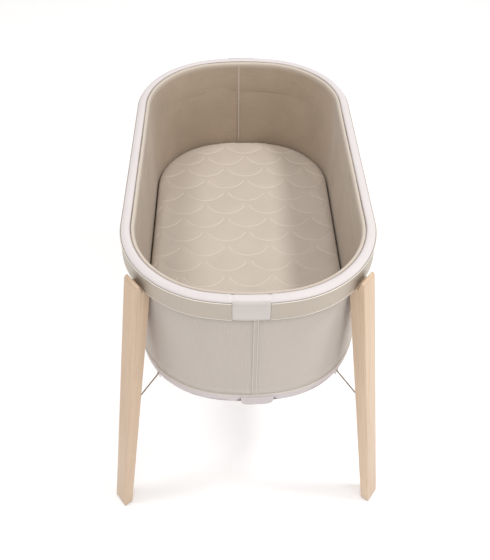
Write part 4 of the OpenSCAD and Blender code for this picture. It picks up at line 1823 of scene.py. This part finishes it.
@dataclass
class Fittings:
    """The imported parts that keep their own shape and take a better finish."""

    finishes: Finishes

    def build(self) -> None:
        """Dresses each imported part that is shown."""
        f = self.finishes
        plain = {
            "rail_joiner_front": f.steel,
            "rail_joiner_rear": f.steel,
            "rail_screws": f.screw,
            "rim_core": f.core,
            "base_board": f.board,
            "base_frame": f.steel,
            "base_crossbars": f.steel,
            "tongue_screws": f.screw,
        }
        for corner in CORNERS:
            plain[f"tongue_{corner}"] = f.steel
            plain[f"stay_hook_{corner}"] = f.coated
            plain[f"foot_glide_{corner}"] = f.glide
            plain[f"stay_hinge_{corner}"] = f.wire
            plain[f"stay_fixings_{corner}"] = f.screw
            plain[f"stay_{corner}"] = f.wire
        for node, finish in plain.items():
            part = bpy.data.objects[node]
            part.data.materials.clear()
            part.data.materials.append(finish)
            log.info("dressed %s with %s", node, finish.name)


# --- The studio ---------------------------------------------------------------------------------


@dataclass
class Studio:
    """A white floor, a pale surround, four soft lights and the camera."""

    camera_place: Tuple[float, float, float] = (-0.0426, -1.3224, 1.7803)
    camera_turn: Tuple[float, float, float] = (43.495, -0.515, -1.393)
    lens: float = 44.57
    surround: float = 0.68
    floor_half: float = 9.0
    glow: float = 0.22

    def build(self) -> None:
        """Makes the camera, the floor and the lights."""
        scene = bpy.context.scene
        scene.view_settings.view_transform = "Standard"
        camera = bpy.data.objects.new("camera", bpy.data.cameras.new("camera"))
        camera.location = self.camera_place
        camera.rotation_euler = tuple(math.radians(a) for a in self.camera_turn)
        camera.data.lens = self.lens
        camera.data.clip_end = 50
        scene.collection.objects.link(camera)
        scene.camera = camera
        world = bpy.data.worlds.new("surround")
        world.use_nodes = True
        back = next(n for n in world.node_tree.nodes if n.type == "BACKGROUND")
        back.inputs[0].default_value = (1.0, 0.99, 0.98, 1.0)
        back.inputs[1].default_value = self.surround
        scene.world = world
        self.light("key_light", (1.50, -0.25, 3.15), 0.50, 32.5)
        self.light("fill_light", (-1.30, -0.30, 3.3), 0.80, 20.5)
        self.light("right_light", (2.3, -2.1, 1.35), 1.4, 12.6)
        self.light("left_light", (-0.9, -3.1, 1.35), 1.4, 9.5)
        floor_shader = Shader("studio_floor")
        cloud = floor_shader.noise(floor_shader.place(), 2.0, 2.0)
        tint = floor_shader.mix(cloud, (0.93, 0.93, 0.93, 1), (0.95, 0.95, 0.95, 1))
        finish = floor_shader.finish(tint, 0.9, Emission_Strength=self.glow)
        floor_shader.surface.inputs["Emission Color"].default_value = (1, 1, 1, 1)
        reach = self.floor_half
        corners = [(-reach, -reach, 0), (reach, -reach, 0), (reach, reach, 0), (-reach, reach, 0)]
        floor = new_piece("studio_floor", np.array(corners), [(0, 1, 2, 3)], finish, smooth=False)

    @staticmethod
    def light(name: str, place: Tuple[float, float, float], size: float, power: float) -> None:
        """Adds a soft light that faces the mattress.

        Args:
            name: The light's name.
            place: Where it hangs.
            size: Its width.
            power: Its power in watts.
        """
        data = bpy.data.lights.new(name, "AREA")
        data.shape = "DISK"
        data.size = size
        data.energy = power
        lamp = bpy.data.objects.new(name, data)
        lamp.location = place
        aim = Vector((0, 0, 0.5)) - Vector(place)
        lamp.rotation_euler = aim.to_track_quat("-Z", "Y").to_euler()
        bpy.context.scene.collection.objects.link(lamp)


def main() -> None:
    """Builds the whole bassinet in order, from the rail down to the floor."""
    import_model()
    finishes = Finishes()
    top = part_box("rail_left")[1].z
    path = RimPath(half_width=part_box("rail_right")[1].x, top=top)
    log.info("rim line is %.4f m round, its top edge %.3f m up", path.round, top)
    Studio().build()
    sewing = StitchRow()
    Rail(path, finishes).build()
    PaddedRim(path, finishes).build(sewing)
    Liner(path, finishes, bottom=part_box("liner_left")[0].z - top).build()
    OuterWall(path, finishes).build(sewing)
    BottomPanel(path, finishes).build()
    Mattress(path, finishes).build()
    Legs(finishes).build()
    Fittings(finishes).build()


if __name__ == "__main__":
    main()
